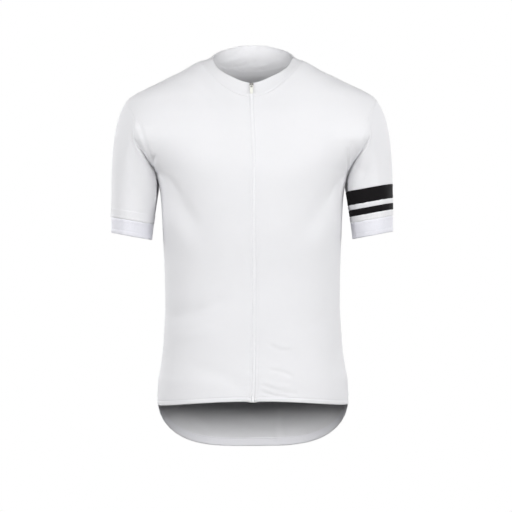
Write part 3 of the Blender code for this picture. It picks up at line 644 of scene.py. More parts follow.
# %% The collar's sizes and points
COLLAR_TOP_HALF_WIDTH = 75
COLLAR_TOP_REACH = {"front": 65, "back": 62}
COLLAR_TOP = [
    # angle round the neck from the front in degrees, height of the top edge
    (0, -44), (8, -42), (17, -38), (27, -32), (38, -25.5), (52, -16), (62, -8.5), (72, 1.5),
    (82, 8), (92, 11.5), (120, 25), (146, 34), (164, 39), (180, 40),
]
COLLAR_BULGE = {"front": 0.8, "back": 2.2}
COLLAR_LEAN = 2.6
COLLAR_FOLDS = [
    # x and height above the seam at one end, the same at the other, half width, depth
    (-52, 10, -14, 27, 3.6, -0.9),
    (-44, 22, -22, 37, 3.0, 0.6),
    (-34, 3, 2, 17, 3.4, 0.9),
    (10, 2, 40, 16, 4.5, -0.8),
    (26, 12, 52, 20, 3.4, 0.5),
]
COLLAR_FOLDS_FROM = 0.2
COLLAR_ROWS = 10
collar_top_height = smooth(COLLAR_TOP)


def collar_half(angle, low_x, high_x):
    """The collar's lines at these angles of its seam, from the seam up. Their x at the zip is given
    for the seam and for the top edge."""
    seam, _ = cloth(neckline(angle))
    ends = math.asin(low_x / NECK_HALF_WIDTH), math.asin(high_x / COLLAR_TOP_HALF_WIDTH)
    above = ends[1] + (angle - ends[0]) * (np.pi - ends[1]) / (np.pi - ends[0])
    reach = np.where(np.cos(above) > 0, COLLAR_TOP_REACH["front"], COLLAR_TOP_REACH["back"])
    top = np.stack([COLLAR_TOP_HALF_WIDTH * np.sin(above), -reach * np.cos(above),
                    collar_top_height(np.degrees(above))], axis=-1)
    height = np.linalg.norm(top - seam, axis=-1).mean()
    rise = (lines_over(height, COLLAR_ROWS) / height)[:, None, None]
    outward = unit(np.stack([np.sin(angle), -np.cos(angle), 0 * angle], axis=-1))
    behind = ((1 - np.cos(angle)) / 2)[:, None]
    bulge = COLLAR_BULGE["front"] * (1 - behind) + COLLAR_BULGE["back"] * behind
    return seam * (1 - rise) + top * rise - outward * bulge * 4 * rise * (1 - rise)


def grid_normals(grid):
    """The outward direction of an open grid, from its own rows and columns."""
    return unit(np.cross(np.gradient(grid, axis=1), np.gradient(grid, axis=0)))


def mirrored(grid):
    """The same grid on the wearer's other side."""
    return grid[:, ::-1] * MIRROR


def settled(grid, ways):
    """The collar as it settles behind the neck: a little to one side, with soft slanting folds."""
    x, y, _ = np.moveaxis(grid, -1, 0)
    up = np.linalg.norm(grid - grid[:1], axis=-1)
    height = np.zeros(x.shape)
    for x0, up0, x1, up1, width, depth in COLLAR_FOLDS:
        height += depth * fold(x, up, (x0, up0, x1, up1), 0, width)
    share = up / up[-1:]
    height = height * ease(y / FOLD_FADE) * ease(share / COLLAR_FOLDS_FROM)
    lean = np.zeros_like(grid)
    reach = COLLAR_TOP_REACH["front"]
    lean[..., 0] = COLLAR_LEAN * share * ease((y + reach) / reach)
    return grid + lean + ways * height[..., None]


half_angles = np.concatenate([neck_angles["front"], neck_angles["back"][-2::-1]])
collar_side = collar_half(half_angles, ZIP_HALF_OPENING, ZIP_HALF_OPENING)
collar_points = np.concatenate([collar_side, mirrored(collar_side)[:, 1:]], axis=1)
collar_ways = grid_normals(collar_points)
collar_points = settled(collar_points, collar_ways)
collar_ways = grid_normals(collar_points)
print("The collar stands", round(float(np.linalg.norm(collar_side[-1, 0] - collar_side[0, 0])), 1),
      "mm high at the zip")

# %% [markdown]
# ## Relief along the edges
#
# Next come the small shapes that tell the eye a panel is sewn. At a seam the cloth rolls down into
# the join and the seam allowance lifts it a little beside. A line of stitches presses a furrow, and
# the thread's pull puckers the edge in short uneven waves.

# %% The profiles of the edges
SEAM = [
    # distance from the edge, half width, height
    (0.0, 0.8, -0.4), (3.4, 2.2, 0.22),
]
NECK_SEAM = [(0.0, 0.7, -0.32), (3.0, 2.2, 0.12)]
HEM = [(0.0, 0.6, -0.2), (3.6, 3.2, 0.25), (7.5, 0.7, -0.5)]
TAIL_HEM = [(0.0, 0.7, -0.45), (6.0, 5.0, 0.25), (13.0, 0.8, -0.4)]
ZIP_EDGE = [(0.0, 0.6, -0.4), (5.2, 0.6, -0.22)]
COLLAR_EDGE = [(0.0, 0.8, -0.5), (4.0, 3.0, 0.2)]
PUCKER = 0.16
PUCKER_REACH = 6.0
PUCKER_WAVES = (9.7, 15.1, 23.6)


def distances(grid):
    """How far each point of a grid is, along the cloth, from its left, right, bottom and top."""
    across = np.linalg.norm(np.diff(grid, axis=1), axis=2)
    up = np.linalg.norm(np.diff(grid, axis=0), axis=2)
    left = np.concatenate([np.zeros((len(grid), 1)), np.cumsum(across, axis=1)], axis=1)
    bottom = np.concatenate([np.zeros((1, grid.shape[1])), np.cumsum(up, axis=0)])
    return {"left": left, "right": left[:, -1:] - left, "bottom": bottom, "top": bottom[-1:] - bottom}


def relief(grid, edges, seed=0):
    """The height of the edges' profiles at each point. Seams and hems pucker along their length."""
    apart = distances(grid)
    height = np.zeros(grid.shape[:2])
    for name, profile in edges.items():
        gap = apart[name]
        for distance, width, rise in profile:
            height += rise * np.exp(-((gap - distance) / width) ** 2)
        along = apart["left" if name in ("bottom", "top") else "bottom"]
        wave = sum(np.sin(2 * np.pi * along / length + seed + 1.7 * i)
                   for i, length in enumerate(PUCKER_WAVES))
        height += PUCKER * wave * np.exp(-gap / PUCKER_REACH)
    return height


# %% [markdown]
# ## Walls of cloth
#
# A panel's two skins are joined by a rim along each open edge, which makes it a closed wall as real
# cloth is. A UV map in metres along the cloth lets the knit follow each panel's grain.


# %% Make a mesh from points and faces
def new_piece(name, points, faces, finish, body="garment"):
    """A smooth-shaded mesh from points in millimetres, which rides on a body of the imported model."""
    mesh = bpy.data.meshes.new(name)
    mesh.from_pydata((np.asarray(points) * MM).tolist(), [], faces)
    mesh.shade_smooth()
    mesh.materials.append(finish)
    made = bpy.data.objects.new(name, mesh)
    bpy.context.scene.collection.objects.link(made)
    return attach(made, body)


def border(rows, columns, closed):
    """The points round a grid, in order, as one loop, or as two where the grid is a tube."""
    index = np.arange(rows * columns).reshape(rows, columns)
    if closed:
        return [index[0], index[-1, ::-1]]
    return [np.concatenate([index[0], index[1:, -1], index[-1, -2::-1], index[-2:0:-1, 0]])]


def wall_faces(rows, columns, closed):
    """The four-sided faces of two skins and of the rounded rims between them. After both skins' own
    points come those of the rims, a third line between the skins' borders."""
    index = np.arange(rows * columns).reshape(rows, columns)
    if closed:
        index = np.concatenate([index, index[:, :1]], axis=1)
    skin = np.stack([index[:-1, :-1], index[:-1, 1:], index[1:, 1:], index[1:, :-1]], axis=-1)
    skin = skin.reshape(-1, 4)
    faces = [skin, skin[:, ::-1] + rows * columns]
    first = 2 * rows * columns
    for loop in border(rows, columns, closed):
        after = np.roll(loop, -1)
        rim = first + np.arange(len(loop))
        rim_after = np.roll(rim, -1)
        faces.append(np.stack([after, loop, rim, rim_after], axis=-1))
        loop, after = loop + rows * columns, after + rows * columns
        faces.append(np.stack([rim_after, rim, loop, after], axis=-1))
        first += len(loop)
    return np.concatenate(faces)


def rim_points(outer, inner, closed):
    """The points halfway between the skins' borders, pushed outwards so that the rim is round."""
    push = np.zeros_like(outer)
    push[0] += unit(outer[0] - outer[1])
    push[-1] += unit(outer[-1] - outer[-2])
    if not closed:
        push[:, 0] += unit(outer[:, 0] - outer[:, 1])
        push[:, -1] += unit(outer[:, -1] - outer[:, -2])
    push = push.reshape(-1, 3)
    middle = ((outer + inner) / 2).reshape(-1, 3)
    thickness = np.linalg.norm(outer - inner, axis=-1).reshape(-1, 1)
    return [middle[loop] + unit(push[loop]) * RIM_ROUND * thickness[loop]
            for loop in border(*outer.shape[:2], closed)]


def wall(name, outer, ways, thickness, finish, closed=False, grain=(0, 0)):
    """A closed wall of cloth under a grid of points. Its UV map is in metres along the cloth, level
    at the row, and upright at the column, that grain names."""
    rows, columns = outer.shape[:2]
    faces = wall_faces(rows, columns, closed)
    inner = outer - ways * thickness
    rims = rim_points(outer, inner, closed)
    points = np.concatenate([outer.reshape(-1, 3), inner.reshape(-1, 3), *rims])
    made = new_piece(name, points, faces.tolist(), finish)
    apart = distances(outer)
    u = apart["left"] - apart["left"][:, grain[1]][:, None]
    v = apart["bottom"] - apart["bottom"][grain[0]][None, :]
    source = np.concatenate([np.arange(rows * columns)] * 2 + border(rows, columns, closed))[faces]
    places = np.stack([u, v], axis=-1).reshape(-1, 2)[source] * MM
    if closed:
        wraps = np.ptp(source % columns, axis=1) == columns - 1
        step = (apart["left"][:, -1] - apart["left"][:, -2])[source // columns] * MM
        behind = places[..., 0].max(axis=1)[:, None] + step
        places[..., 0] = np.where(wraps[:, None] & (source % columns == 0), behind, places[..., 0])
    made.data.uv_layers.new(name="cloth").data.foreach_set("uv", places.ravel())
    return made


panels = {}


def cloth_piece(name, outer, ways, thickness, finish, closed=False, grain=(0, 0)):
    """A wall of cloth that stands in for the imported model's piece of that name."""
    piece = wall("cloth_" + name, outer, ways, thickness, finish, closed, grain)
    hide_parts(name)
    panels[name] = (outer, ways, piece)
    print(name, "has", len(piece.data.polygons), "faces")


def sew_edge(grid, edges):
    """Moves the outermost lines of a grid half a sewn seam's gap inwards."""
    moved = grid.copy()
    for name in edges:
        edge, inner = (0, 1) if name in ("bottom", "left") else (-1, -2)
        if name in ("bottom", "top"):
            moved[edge] += unit(grid[inner] - grid[edge]) * SEWN_GAP / 2
        else:
            moved[:, edge] += unit(grid[:, inner] - grid[:, edge]) * SEWN_GAP / 2
    return moved


# %% [markdown]
# ## Colours and finishes
#
# Each finish starts from what the real thing is made of. Colours are given as sRGB hex, which is
# what a colour picker shows, and one function turns them into the linear values that light needs.


# %% Colours, and one helper that adds a node
def linear(hex_colour):
    """An sRGB hex colour as linear red, green, blue and alpha."""
    parts = [int(hex_colour[i : i + 2], 16) / 255 for i in (1, 3, 5)]
    return (*[c / 12.92 if c <= 0.04045 else ((c + 0.055) / 1.055) ** 2.4 for c in parts], 1.0)


def set_inputs(finish, node, inputs):
    """Sets a node's inputs. One is linked if its value is another node's output."""
    for name, value in inputs.items():
        if isinstance(value, bpy.types.NodeSocket):
            finish.node_tree.links.new(value, node.inputs[name])
        else:
            node.inputs[name].default_value = value


def add_node(finish, kind, inputs, **settings):
    """Adds a node with its settings and its inputs."""
    made = finish.node_tree.nodes.new("ShaderNode" + kind)
    for name, value in settings.items():
        setattr(made, name, value)
    set_inputs(finish, made, inputs)
    return made


def new_finish(name):
    """A new material and its Principled shader."""
    made = bpy.data.materials.new(name)
    made.use_nodes = True
    return made, made.node_tree.nodes["Principled BSDF"]


# %% [markdown]
# ### Polyester knit
#
# The body is a fine polyester interlock, knitted on a circular machine and dyed. Its loops stand in
# columns, called wales, about 0.5 mm apart. That would be too fine to show, so we draw them at
# 1.2 mm. Each wale is a column of small V shapes, and its fibres give a soft sheen at a low angle
# and no gloss. Polyester's index of refraction is about 1.6.

# %% The knit
WALE = 1.2
COURSE = 1.0
LOOP_LEAN = 0.45


def knit(name, light, dark, roughness, sheen, wale=WALE, course=COURSE, relief_mm=0.12, specular=0.2):
    """A knit of V-shaped loops, wale mm wide and course mm high, along the cloth's own grain. Its
    colour has painted shade: darker in the loops' hollows, lighter on their crests.
    """
    made, shader = new_finish(name)
    grain = add_node(made, "UVMap", {}, uv_map="cloth")
    parts = add_node(made, "SeparateXYZ", {"Vector": grain.outputs["UV"]})
    arm = add_node(made, "Math", {0: parts.outputs["X"], 1: wale * MM / 2}, operation="PINGPONG")
    lean = add_node(made, "Math", {0: arm.outputs[0], 1: 2 * math.pi * LOOP_LEAN / (wale * MM / 2)},
                    operation="MULTIPLY")
    row = add_node(made, "Math", {0: parts.outputs["Y"], 1: 2 * math.pi / (course * MM),
                                  2: lean.outputs[0]}, operation="MULTIPLY_ADD")
    loop = add_node(made, "Math", {0: row.outputs[0]}, operation="SINE")
    column = add_node(made, "Math", {0: arm.outputs[0], 1: 2 * math.pi / (wale * MM / 2)},
                      operation="MULTIPLY")
    crest = add_node(made, "Math", {0: column.outputs[0]}, operation="COSINE")
    height = add_node(made, "Math", {0: crest.outputs[0], 1: -0.7, 2: loop.outputs[0]},
                      operation="MULTIPLY_ADD")
    place = add_node(made, "TexCoord", {})
    fuzz = add_node(made, "TexNoise", {"Vector": place.outputs["Object"], "Scale": 900.0,
                                       "Detail": 3.0})
    uneven = add_node(made, "TexNoise", {"Vector": place.outputs["Object"], "Scale": 14.0,
                                         "Detail": 4.0, "Roughness": 0.6})
    # Painted shade: the loops' relief height picks the colour, darker in the hollows and lighter on
    # the crests, and random uneven tone is added to it.
    shade = add_node(made, "MapRange", {"Value": height.outputs[0], "From Min": -1.7,
                                        "From Max": 1.7, "To Min": 0.0, "To Max": 0.75})
    random_tone_and_painted_shade = add_node(made, "Math", {0: uneven.outputs["Fac"], 1: 0.35, 2: shade.outputs["Result"]},
                     operation="MULTIPLY_ADD")
    colour = add_node(made, "Mix", {0: random_tone_and_painted_shade.outputs[0], 6: linear(dark), 7: linear(light)},
                      data_type="RGBA")
    fibres = add_node(made, "Math", {0: fuzz.outputs["Fac"], 1: 0.8, 2: height.outputs[0]},
                      operation="MULTIPLY_ADD")
    bump = add_node(made, "Bump", {"Height": fibres.outputs[0], "Strength": 0.6,
                                   "Distance": relief_mm * MM})
    matt = add_node(made, "MapRange", {"Value": fuzz.outputs["Fac"], "To Min": roughness - 0.06,
                                       "To Max": roughness + 0.06})
    set_inputs(made, shader, {
        "Base Color": colour.outputs[2], "Roughness": matt.outputs["Result"],
        "Normal": bump.outputs["Normal"], "IOR": 1.6, "Specular IOR Level": specular,
        "Sheen Weight": sheen, "Sheen Roughness": 0.5,
    })
    return made


# Each knit's darker colour is painted shade in the loops' hollows, mixed with random uneven tone.
white_knit = knit("white_polyester_interlock_knit", "#f1f1f3", "#e8e8eb", 0.78, 0.1)
black_knit = knit("black_dyed_polyester_knit", "#1a181a", "#0d0c0d", 0.8, 0.0, specular=0.08)
elastic_knit = knit("elastane_gripper_band_knit", "#efeff4", "#dfdfe8", 0.66, 0.1, 1.1, 2.2, 0.1)
gripper_tape = knit("silicone_backed_gripper_tape", "#f4f4f7", "#ebebf1", 0.6, 0.1, 1.1, 2.2, 0.06)
print("Knits:", white_knit.name, black_knit.name, elastic_knit.name)

# %% [markdown]
# ### Zip, thread and metal
#
# The zip's tape is woven polyester, its coil is drawn nylon with a satin surface, and the slider is
# die-cast zinc with a thin nickel plating, which leaves it silvery with soft reflections. The tab is
# stamped and dipped in cream enamel. Sewing thread is spun polyester, twisted from two plies.


# %% Tape, nylon, thread, zinc and enamel
def woven_tape():
    """Plain weave: threads 0.4 mm apart, drawn at 0.9 mm so that they show. Its colour has painted
    shade, darker where the threads dip.
    """
    made, shader = new_finish("woven_polyester_zip_tape")
    grain = add_node(made, "UVMap", {}, uv_map="cloth")
    warp, weft = (
        add_node(made, "TexWave", {"Vector": grain.outputs["UV"], "Scale": math.pi / 10 / (0.9 * MM)},
                 bands_direction=axis)
        for axis in ("X", "Y")
    )
    height = add_node(made, "Math", {0: warp.outputs["Fac"], 1: weft.outputs["Fac"]},
                      operation="MULTIPLY")
    # Painted shade: the weave's height picks the colour, darker where the threads dip under each
    # other.
    colour = add_node(made, "Mix", {0: height.outputs[0], 6: linear("#dddde1"),
                                    7: linear("#f1f1f3")}, data_type="RGBA")
    bump = add_node(made, "Bump", {"Height": height.outputs[0], "Strength": 0.5,
                                   "Distance": 0.15 * MM})
    set_inputs(made, shader, {"Base Color": colour.outputs[2], "Roughness": 0.7,
                              "Normal": bump.outputs["Normal"]})
    return made


def speckled(name, light, dark, grain_mm, roughness, metallic=0.0, relief_mm=0.02, ior=1.5, coat=0.0):
    """A solid stuff whose surface has a fine grain of that size in colour, gloss and relief."""
    made, shader = new_finish(name)
    place = add_node(made, "TexCoord", {})
    grain = add_node(made, "TexNoise", {"Vector": place.outputs["Object"],
                                        "Scale": 1 / (grain_mm * MM), "Detail": 3.0})
    colour = add_node(made, "Mix", {0: grain.outputs["Fac"], 6: linear(dark), 7: linear(light)},
                      data_type="RGBA")
    gloss = add_node(made, "MapRange", {"Value": grain.outputs["Fac"], "To Min": roughness - 0.05,
                                        "To Max": roughness + 0.05})
    bump = add_node(made, "Bump", {"Height": grain.outputs["Fac"], "Strength": 0.4,
                                   "Distance": relief_mm * MM})
    set_inputs(made, shader, {
        "Base Color": colour.outputs[2], "Roughness": gloss.outputs["Result"],
        "Normal": bump.outputs["Normal"], "Metallic": metallic, "IOR": ior, "Coat Weight": coat,
    })
    return made


zip_tape = woven_tape()
nylon = speckled("drawn_nylon_coil", "#f5f5f6", "#ebebee", 0.5, 0.4, ior=1.53)
thread = speckled("spun_polyester_thread", "#f5f5f6", "#dcdce2", 0.3, 0.62, relief_mm=0.05, ior=1.6)
zinc = speckled("nickel_plated_zinc", "#c9c7c3", "#a9a7a4", 0.4, 0.27, metallic=1.0)
enamel = speckled("cream_enamel", "#f2f2ea", "#ecece3", 2.5, 0.32, coat=0.3)
print("Zip finishes:", ", ".join(m.name for m in (zip_tape, nylon, thread, zinc, enamel)))

# %% [markdown]
# ## The fronts
#
# The two fronts are cut as mirror images, but their creases differ. Beside the zip the edge is
# folded under and stitched down, and the hem is turned up and stitched 7.5 mm from its edge.

# %% The way through the cloth along the neck and the armhole
sleeve_top = {}
for hand, lines in lines_of_sleeve.items():
    _, out = piece_of_sleeve(lines, WIDE_HOOP_TOP, None)
    known = np.linspace(0, np.pi, ROUND_CELLS + 1)
    back_row = np.concatenate([out[-1, ROUND_CELLS:], out[-1, :1]])[::-1]
    sleeve_top[hand] = {"front": (known, out[-1, : ROUND_CELLS + 1]), "back": (known, back_row)}
collar_foot = collar_ways[0, : len(half_angles)]
WAY_REACH = 2.5


def panel_ways(points, side, hand):
    """Ways out of a half panel that agree with the collar's and the sleeve's at their seams."""
    ways = form_normal(points)
    apart = distances(points)
    known = read_at(neck_angles[side], half_angles, collar_foot)
    turn_to = np.zeros_like(points)
    own = ways[-1, : len(known)]
    turn_to[-1, : len(known)] = seam_way(own, known) - own
    ways = ways + turn_to[-1] * np.exp(-apart["top"] / WAY_REACH)[..., None]
    turns = arm_turns[side]
    known = read_at(turns, *sleeve_top[hand][side])
    own = ways[-len(turns) :, -1]
    turn_to = np.zeros((len(points), 1, 3))
    turn_to[-len(turns) :, 0] = seam_way(unit(own), known) - own
    return ways + turn_to * np.exp(-apart["right"] / WAY_REACH)[..., None]


# %% Cut and sew the fronts
LEVEL_ROW = len(HEM_LINES) + POCKET_CELLS
FRONT_EDGES = {"left": ZIP_EDGE, "right": SEAM, "bottom": HEM, "top": NECK_SEAM}


def made_half(side, hand):
    """A half panel on the wearer's left or right: its points with creases, and its ways."""
    points = form_points[side]
    if hand == "left":
        return cloth(points)[0], panel_ways(points, side, hand)
    creased = cloth(points * MIRROR)[0]
    return creased[:, ::-1], mirrored(panel_ways(points, side, hand))


for hand in ("left", "right"):
    points, ways = made_half("front", hand)
    edges = dict(FRONT_EDGES)
    if hand == "right":
        edges["left"], edges["right"] = edges["right"], edges["left"]
    sewn = sew_edge(points, ["top", "right" if hand == "left" else "left"])
    outer = sewn + ways * relief(points, edges, len(hand))[..., None]
    zip_column = 0 if hand == "left" else -1
    cloth_piece("front_" + hand, outer, ways, CLOTH, white_knit,
                grain=(LEVEL_ROW, zip_column))

# %% [markdown]
# ## The back
#
# The back is one panel with a dropped tail, which covers the rider's waist when bent forwards. Its
# hem is held by a gripper tape, sewn down 13 mm from the edge.

# %% Cut and sew the back
left, left_ways = made_half("back", "left")
right, right_ways = made_half("back", "right")
back = np.concatenate([right[:, :-1], left], axis=1)[:, ::-1]
back_ways = np.concatenate([right_ways[:, :-1], left_ways], axis=1)[:, ::-1]
back_edges = {"left": SEAM, "right": SEAM, "bottom": TAIL_HEM, "top": NECK_SEAM}
sewn = sew_edge(back, ["left", "right", "top"])
back_outer = sewn + back_ways * relief(back, back_edges, 2)[..., None]
cloth_piece("back", back_outer, back_ways, CLOTH, white_knit,
            grain=(LEVEL_ROW, back.shape[1] // 2))

# %% [markdown]
# ## The sleeves and their bands
#
# The right sleeve is white down to its cuff. Its end is turned up on the inside and stitched 16 mm
# above the cuff, which leaves a band that stands out a little. The left one is pieced: a wide and a
# narrow black hoop with white between them. The cuffs are an elastic knit, thicker than the sleeve.

# %% Creases on the sleeves
SLEEVE_RADIUS = 46
STITCH_ABOVE_CUFF = 16
TURNED_UP = 0.55
TURN_STEP = 2.2
FOLDS_START = 9
CUFF_SEAM = [(0.0, 0.9, -0.7), (3.0, 1.8, 0.25)]


def sleeve_height(hand, grid, from_top):
    """How far the sleeve's creases move its cloth, from the angle round the arm and the distance
    down from the armhole. They fade where the sleeve is sewn in."""
    columns = grid.shape[1]
    degrees = np.arange(columns) * 360 / columns
    degrees = np.where(degrees > 180, degrees - 360, degrees)[None, :]
    around = np.radians(degrees) * SLEEVE_RADIUS
    height = np.zeros(grid.shape[:2])
    for name, turn0, down0, turn1, down1, width, depth in SLEEVE_FOLDS:
        if name == hand:
            x0, x1 = (math.radians(turn) * SLEEVE_RADIUS for turn in (turn0, turn1))
            height += depth * fold(around, from_top, (x0, down0, x1, down1), 0, width)
    return height * ease(from_top / FOLDS_START)


# %% Make every piece of the sleeves
PIECES_OF_SLEEVE = {
    "right": [("cuff_right", 0, CUFF), ("sleeve_right", CUFF, None)],
    "left": [("cuff_left", 0, CUFF), ("sleeve_left_lower", CUFF, STRIP_TOP),
             ("hoop_left_narrow", STRIP_TOP, NARROW_HOOP_TOP),
             ("hoop_left_gap", NARROW_HOOP_TOP, HOOP_GAP_TOP),
             ("hoop_left_wide", HOOP_GAP_TOP, WIDE_HOOP_TOP),
             ("sleeve_left", WIDE_HOOP_TOP, None)],
}
FINISH_OF = {
    "cuff_right": (elastic_knit, "elastic"), "cuff_left": (elastic_knit, "elastic"),
    "hoop_left_wide": (black_knit, "black_knit"), "hoop_left_narrow": (black_knit, "black_knit"),
}
arm_turn = np.linspace(0, np.pi, ROUND_CELLS + 1)
around_armhole = np.concatenate([armhole(arm_turn, "front"), armhole(arm_turn[-2:0:-1], "back")])
armhole_way = form_normal(around_armhole)
for hand, pieces in PIECES_OF_SLEEVE.items():
    lines = lines_of_sleeve[hand]
    reach = np.linalg.norm(np.diff(lines, axis=0), axis=2).sum(0)
    for name, low, high in pieces:
        points, ways = piece_of_sleeve(lines, low, high)
        apart = distances(points)
        if high is None:
            turn_to = seam_way(ways[-1], armhole_way) - ways[-1]
            ways = ways + turn_to * np.exp(-apart["top"] / WAY_REACH)[..., None]
        edges = {"bottom": SEAM if low else HEM, "top": SEAM}
        if low == CUFF:
            edges["bottom"] = CUFF_SEAM
        from_top = reach - low - apart["bottom"]
        height = relief(points, edges, low) + sleeve_height(hand, points, from_top)
        if name == "sleeve_right":
            inside = STITCH_ABOVE_CUFF + TURN_STEP / 2 - apart["bottom"]
            height += TURNED_UP * ease(inside / TURN_STEP)
        sewn = sew_edge(points, ["top"] + (["bottom"] if low else []))
        outer = sewn + ways * height[..., None]
        outer, ways = np.roll(outer, ROUND_CELLS, axis=1), np.roll(ways, ROUND_CELLS, axis=1)
        if hand == "right":
            outer, ways = mirrored(outer), mirrored(ways)
        finish, slot = FINISH_OF.get(name, (white_knit, "white_knit"))
        thickness = CUFF_CLOTH if name.startswith("cuff") else CLOTH
        cloth_piece(name, outer, ways, thickness, finish, closed=True, grain=(0, ROUND_CELLS))

# %% [markdown]
# ## The collar's cloth
#
# A stand collar is the knit folded double, so its wall is thicker than a panel's. We could stitch it
# on with its own way through the cloth, but the neck seam would gape, so it turns there to agree
# with the fronts and the back.

# %% Sew the collar
own = collar_ways[0].copy()
neck_way = form_normal(neckline(half_angles))
seam_side = np.concatenate([neck_way, (neck_way * MIRROR)[-2::-1]])
turn_to = seam_way(own, seam_side) - own
collar_gap = distances(collar_points)
ways = collar_ways + turn_to * np.exp(-collar_gap["bottom"] / WAY_REACH)[..., None]
collar_edges = {"bottom": NECK_SEAM, "top": COLLAR_EDGE, "left": ZIP_EDGE, "right": ZIP_EDGE}
sewn = sew_edge(collar_points, ["bottom"])
collar_outer = sewn + ways * relief(collar_points, collar_edges, 4)[..., None]
cloth_piece("collar", collar_outer, ways, COLLAR_CLOTH, white_knit,
            grain=(0, collar_outer.shape[1] // 2))

# %% [markdown]
# ## Pockets and tape
#
# The three rear pockets are one panel laid on the back, divided by two lines of stitches and held
# at the mouth by an elastic binding. They stand off the back a little, as empty pockets do.

# %% Points between a grid's lines
LIFT = POCKET_CLOTH + LAYER_GAP
POCKET_DIVIDERS = (1 / 3, 2 / 3)
DIVIDER_STEPS = (-1.6, -0.8, 0, 0.8, 1.6)
DIVIDER_DEPTH = 0.5
DIVIDER_WIDTH = 1.4
POCKET_INSET = 1 / 28
POCKET_BULGE = 5.5
BULGE_FULL_AT = 0.55
MOUTH_DRAWN_IN = 0.25
SEWN_DOWN = 0.5
SEWN_REACH = 20.0
POCKET_PITCH = 2.6
BINDING = 10.5
BINDING_OVER = 0.6


def between(grid, rows, columns):
    """A grid read at rows and columns that may lie between its own."""
    i, j = np.floor(rows).astype(int), np.floor(columns).astype(int)
    i, j = np.minimum(i, grid.shape[0] - 2), np.minimum(j, grid.shape[1] - 2)
    a, b = (rows - i)[:, None, None], (columns - j)[None, :, None]
    i, j = i[:, None], j[None, :]
    low = grid[i, j] * (1 - b) + grid[i, j + 1] * b
    return low * (1 - a) + (grid[i + 1, j] * (1 - b) + grid[i + 1, j + 1] * b) * a


def lines_between(run, start, end, stops=()):
    """Places of the lines of a patch, in the grid's own lines: even, with more at ends and stops."""
    low, high = np.interp([start, end], np.arange(len(run)), run)
    at = low + lines_over(high - low, round((high - low) / POCKET_PITCH))
    near = [low + stop * (high - low) + step for stop in stops for step in DIVIDER_STEPS]
    at = np.unique(np.concatenate([at, near]))
    return np.interp(at, run, np.arange(len(run)))


# %% The pocket panel and its binding
first_row, last_row = len(HEM_LINES), len(HEM_LINES) + POCKET_CELLS
inset = (back.shape[1] - 1) * POCKET_INSET
column_run = run_of(back[last_row])
row_run = run_of(back[:, back.shape[1] // 2])
rows = lines_between(row_run, first_row, last_row)
columns = lines_between(column_run, inset, back.shape[1] - 1 - inset, POCKET_DIVIDERS)
pocket = between(back, rows, columns)
pocket_ways = unit(between(back_ways, rows, columns))
apart = distances(pocket)
across = (apart["left"] / (apart["left"] + apart["right"])) * 3
share = apart["bottom"] / (apart["bottom"] + apart["top"])
drawn_in = MOUTH_DRAWN_IN * ease((share - 0.75) / 0.25)
bag = np.abs(np.sin(np.pi * across)) ** 1.1 * ease(share / BULGE_FULL_AT) * (1 - drawn_in)
sag = POCKET_BULGE * bag * (1 + 0.12 * np.sin(7 * across + 5 * share))
pocket_edges = {name: SEAM for name in ("left", "right", "bottom")}
edge = np.minimum(np.minimum(apart["left"], apart["right"]), apart["bottom"])
height = SEWN_DOWN + (LIFT - SEWN_DOWN) * ease(edge / SEWN_REACH) + sag
height += relief(pocket, pocket_edges, 5) * 0.6
for divider in POCKET_DIVIDERS:
    off = apart["left"] - divider * (apart["left"] + apart["right"])
    height -= DIVIDER_DEPTH * np.exp(-(off / DIVIDER_WIDTH) ** 2)
pocket_outer = pocket + pocket_ways * height[..., None]
cloth_piece("pocket_panel", pocket_outer, pocket_ways, POCKET_CLOTH, white_knit,
            grain=(-1, pocket_outer.shape[1] // 2))

# %% The elastic binding along the pockets' mouth
mouth_run = run_of(pocket_outer[:, pocket_outer.shape[1] // 2])
over = BINDING + BINDING_OVER
mouth_rows = mouth_run[-1] - BINDING + lines_over(over, 6)[:-1] * BINDING / over
mouth_rows = np.interp(mouth_rows, mouth_run, np.arange(len(mouth_run)))
every = np.arange(pocket_outer.shape[1], dtype=float)
band = between(pocket_outer, mouth_rows, every)
band_ways = unit(between(pocket_ways, mouth_rows, every))
gap = distances(band)
height = TAPE + LAYER_GAP * 0.6
for name in ("bottom", "top"):
    height = height - 0.5 * np.exp(-(gap[name] / 0.7) ** 2)
height += 0.14 * np.sin(2 * np.pi * gap["left"] / 7.3) * np.sin(np.pi * gap["bottom"] / BINDING)
height -= (TAPE + 0.6) * (1 - ease(np.minimum(gap["left"], gap["right"]) / SEWN_REACH))
binding_outer = band + band_ways * height[..., None]
cloth_piece("pocket_binding", binding_outer, band_ways, TAPE, elastic_knit)

# %% The gripper tape inside the tail
TAPE_INSET = 1.5
TAPE_SIDE_INSET = 3
TAPE_PLACES = 190
hem_run = run_of(back[: len(HEM_LINES) + 1, back.shape[1] // 2])
up_hem = TAPE_INSET + lines_over(HEM_BAND - TAPE_INSET, 3)
tape_rows = np.interp(up_hem, hem_run, np.arange(len(hem_run)))
width_run = run_of(back[0])
along_hem = np.linspace(TAPE_SIDE_INSET, width_run[-1] - TAPE_SIDE_INSET, TAPE_PLACES)
tape_columns = np.interp(along_hem, width_run, np.arange(len(width_run)))
tape = between(back, tape_rows, tape_columns)
tape_ways = unit(between(back_ways, tape_rows, tape_columns))
gap = distances(tape)
furrow = 0.5 * np.exp(-((gap["top"] - 1.6) / 0.7) ** 2)
tape_outer = tape - tape_ways * (CLOTH + LAYER_GAP + 0.5 - furrow)[..., None]
cloth_piece("hem_tape", tape_outer, tape_ways, TAPE, gripper_tape)

# %% [markdown]
# ## The zip
#
# A coil zip is two nylon spirals sewn to tapes, whose loops hook into each other. Only the front of
# each loop shows, so we model that: a short rounded bar, repeated on both sides half a step apart.
# The real pitch of this size is 1.27 mm, and it is kept.

# %% The line that the zip follows
COIL_PITCH = 1.27
COIL_PROUD = 0.5
COIL_START = 9
COIL_END = 7
TAPE_END = 4
READ_STEPS = (-3, -1.5, 0, 1.5, 3)


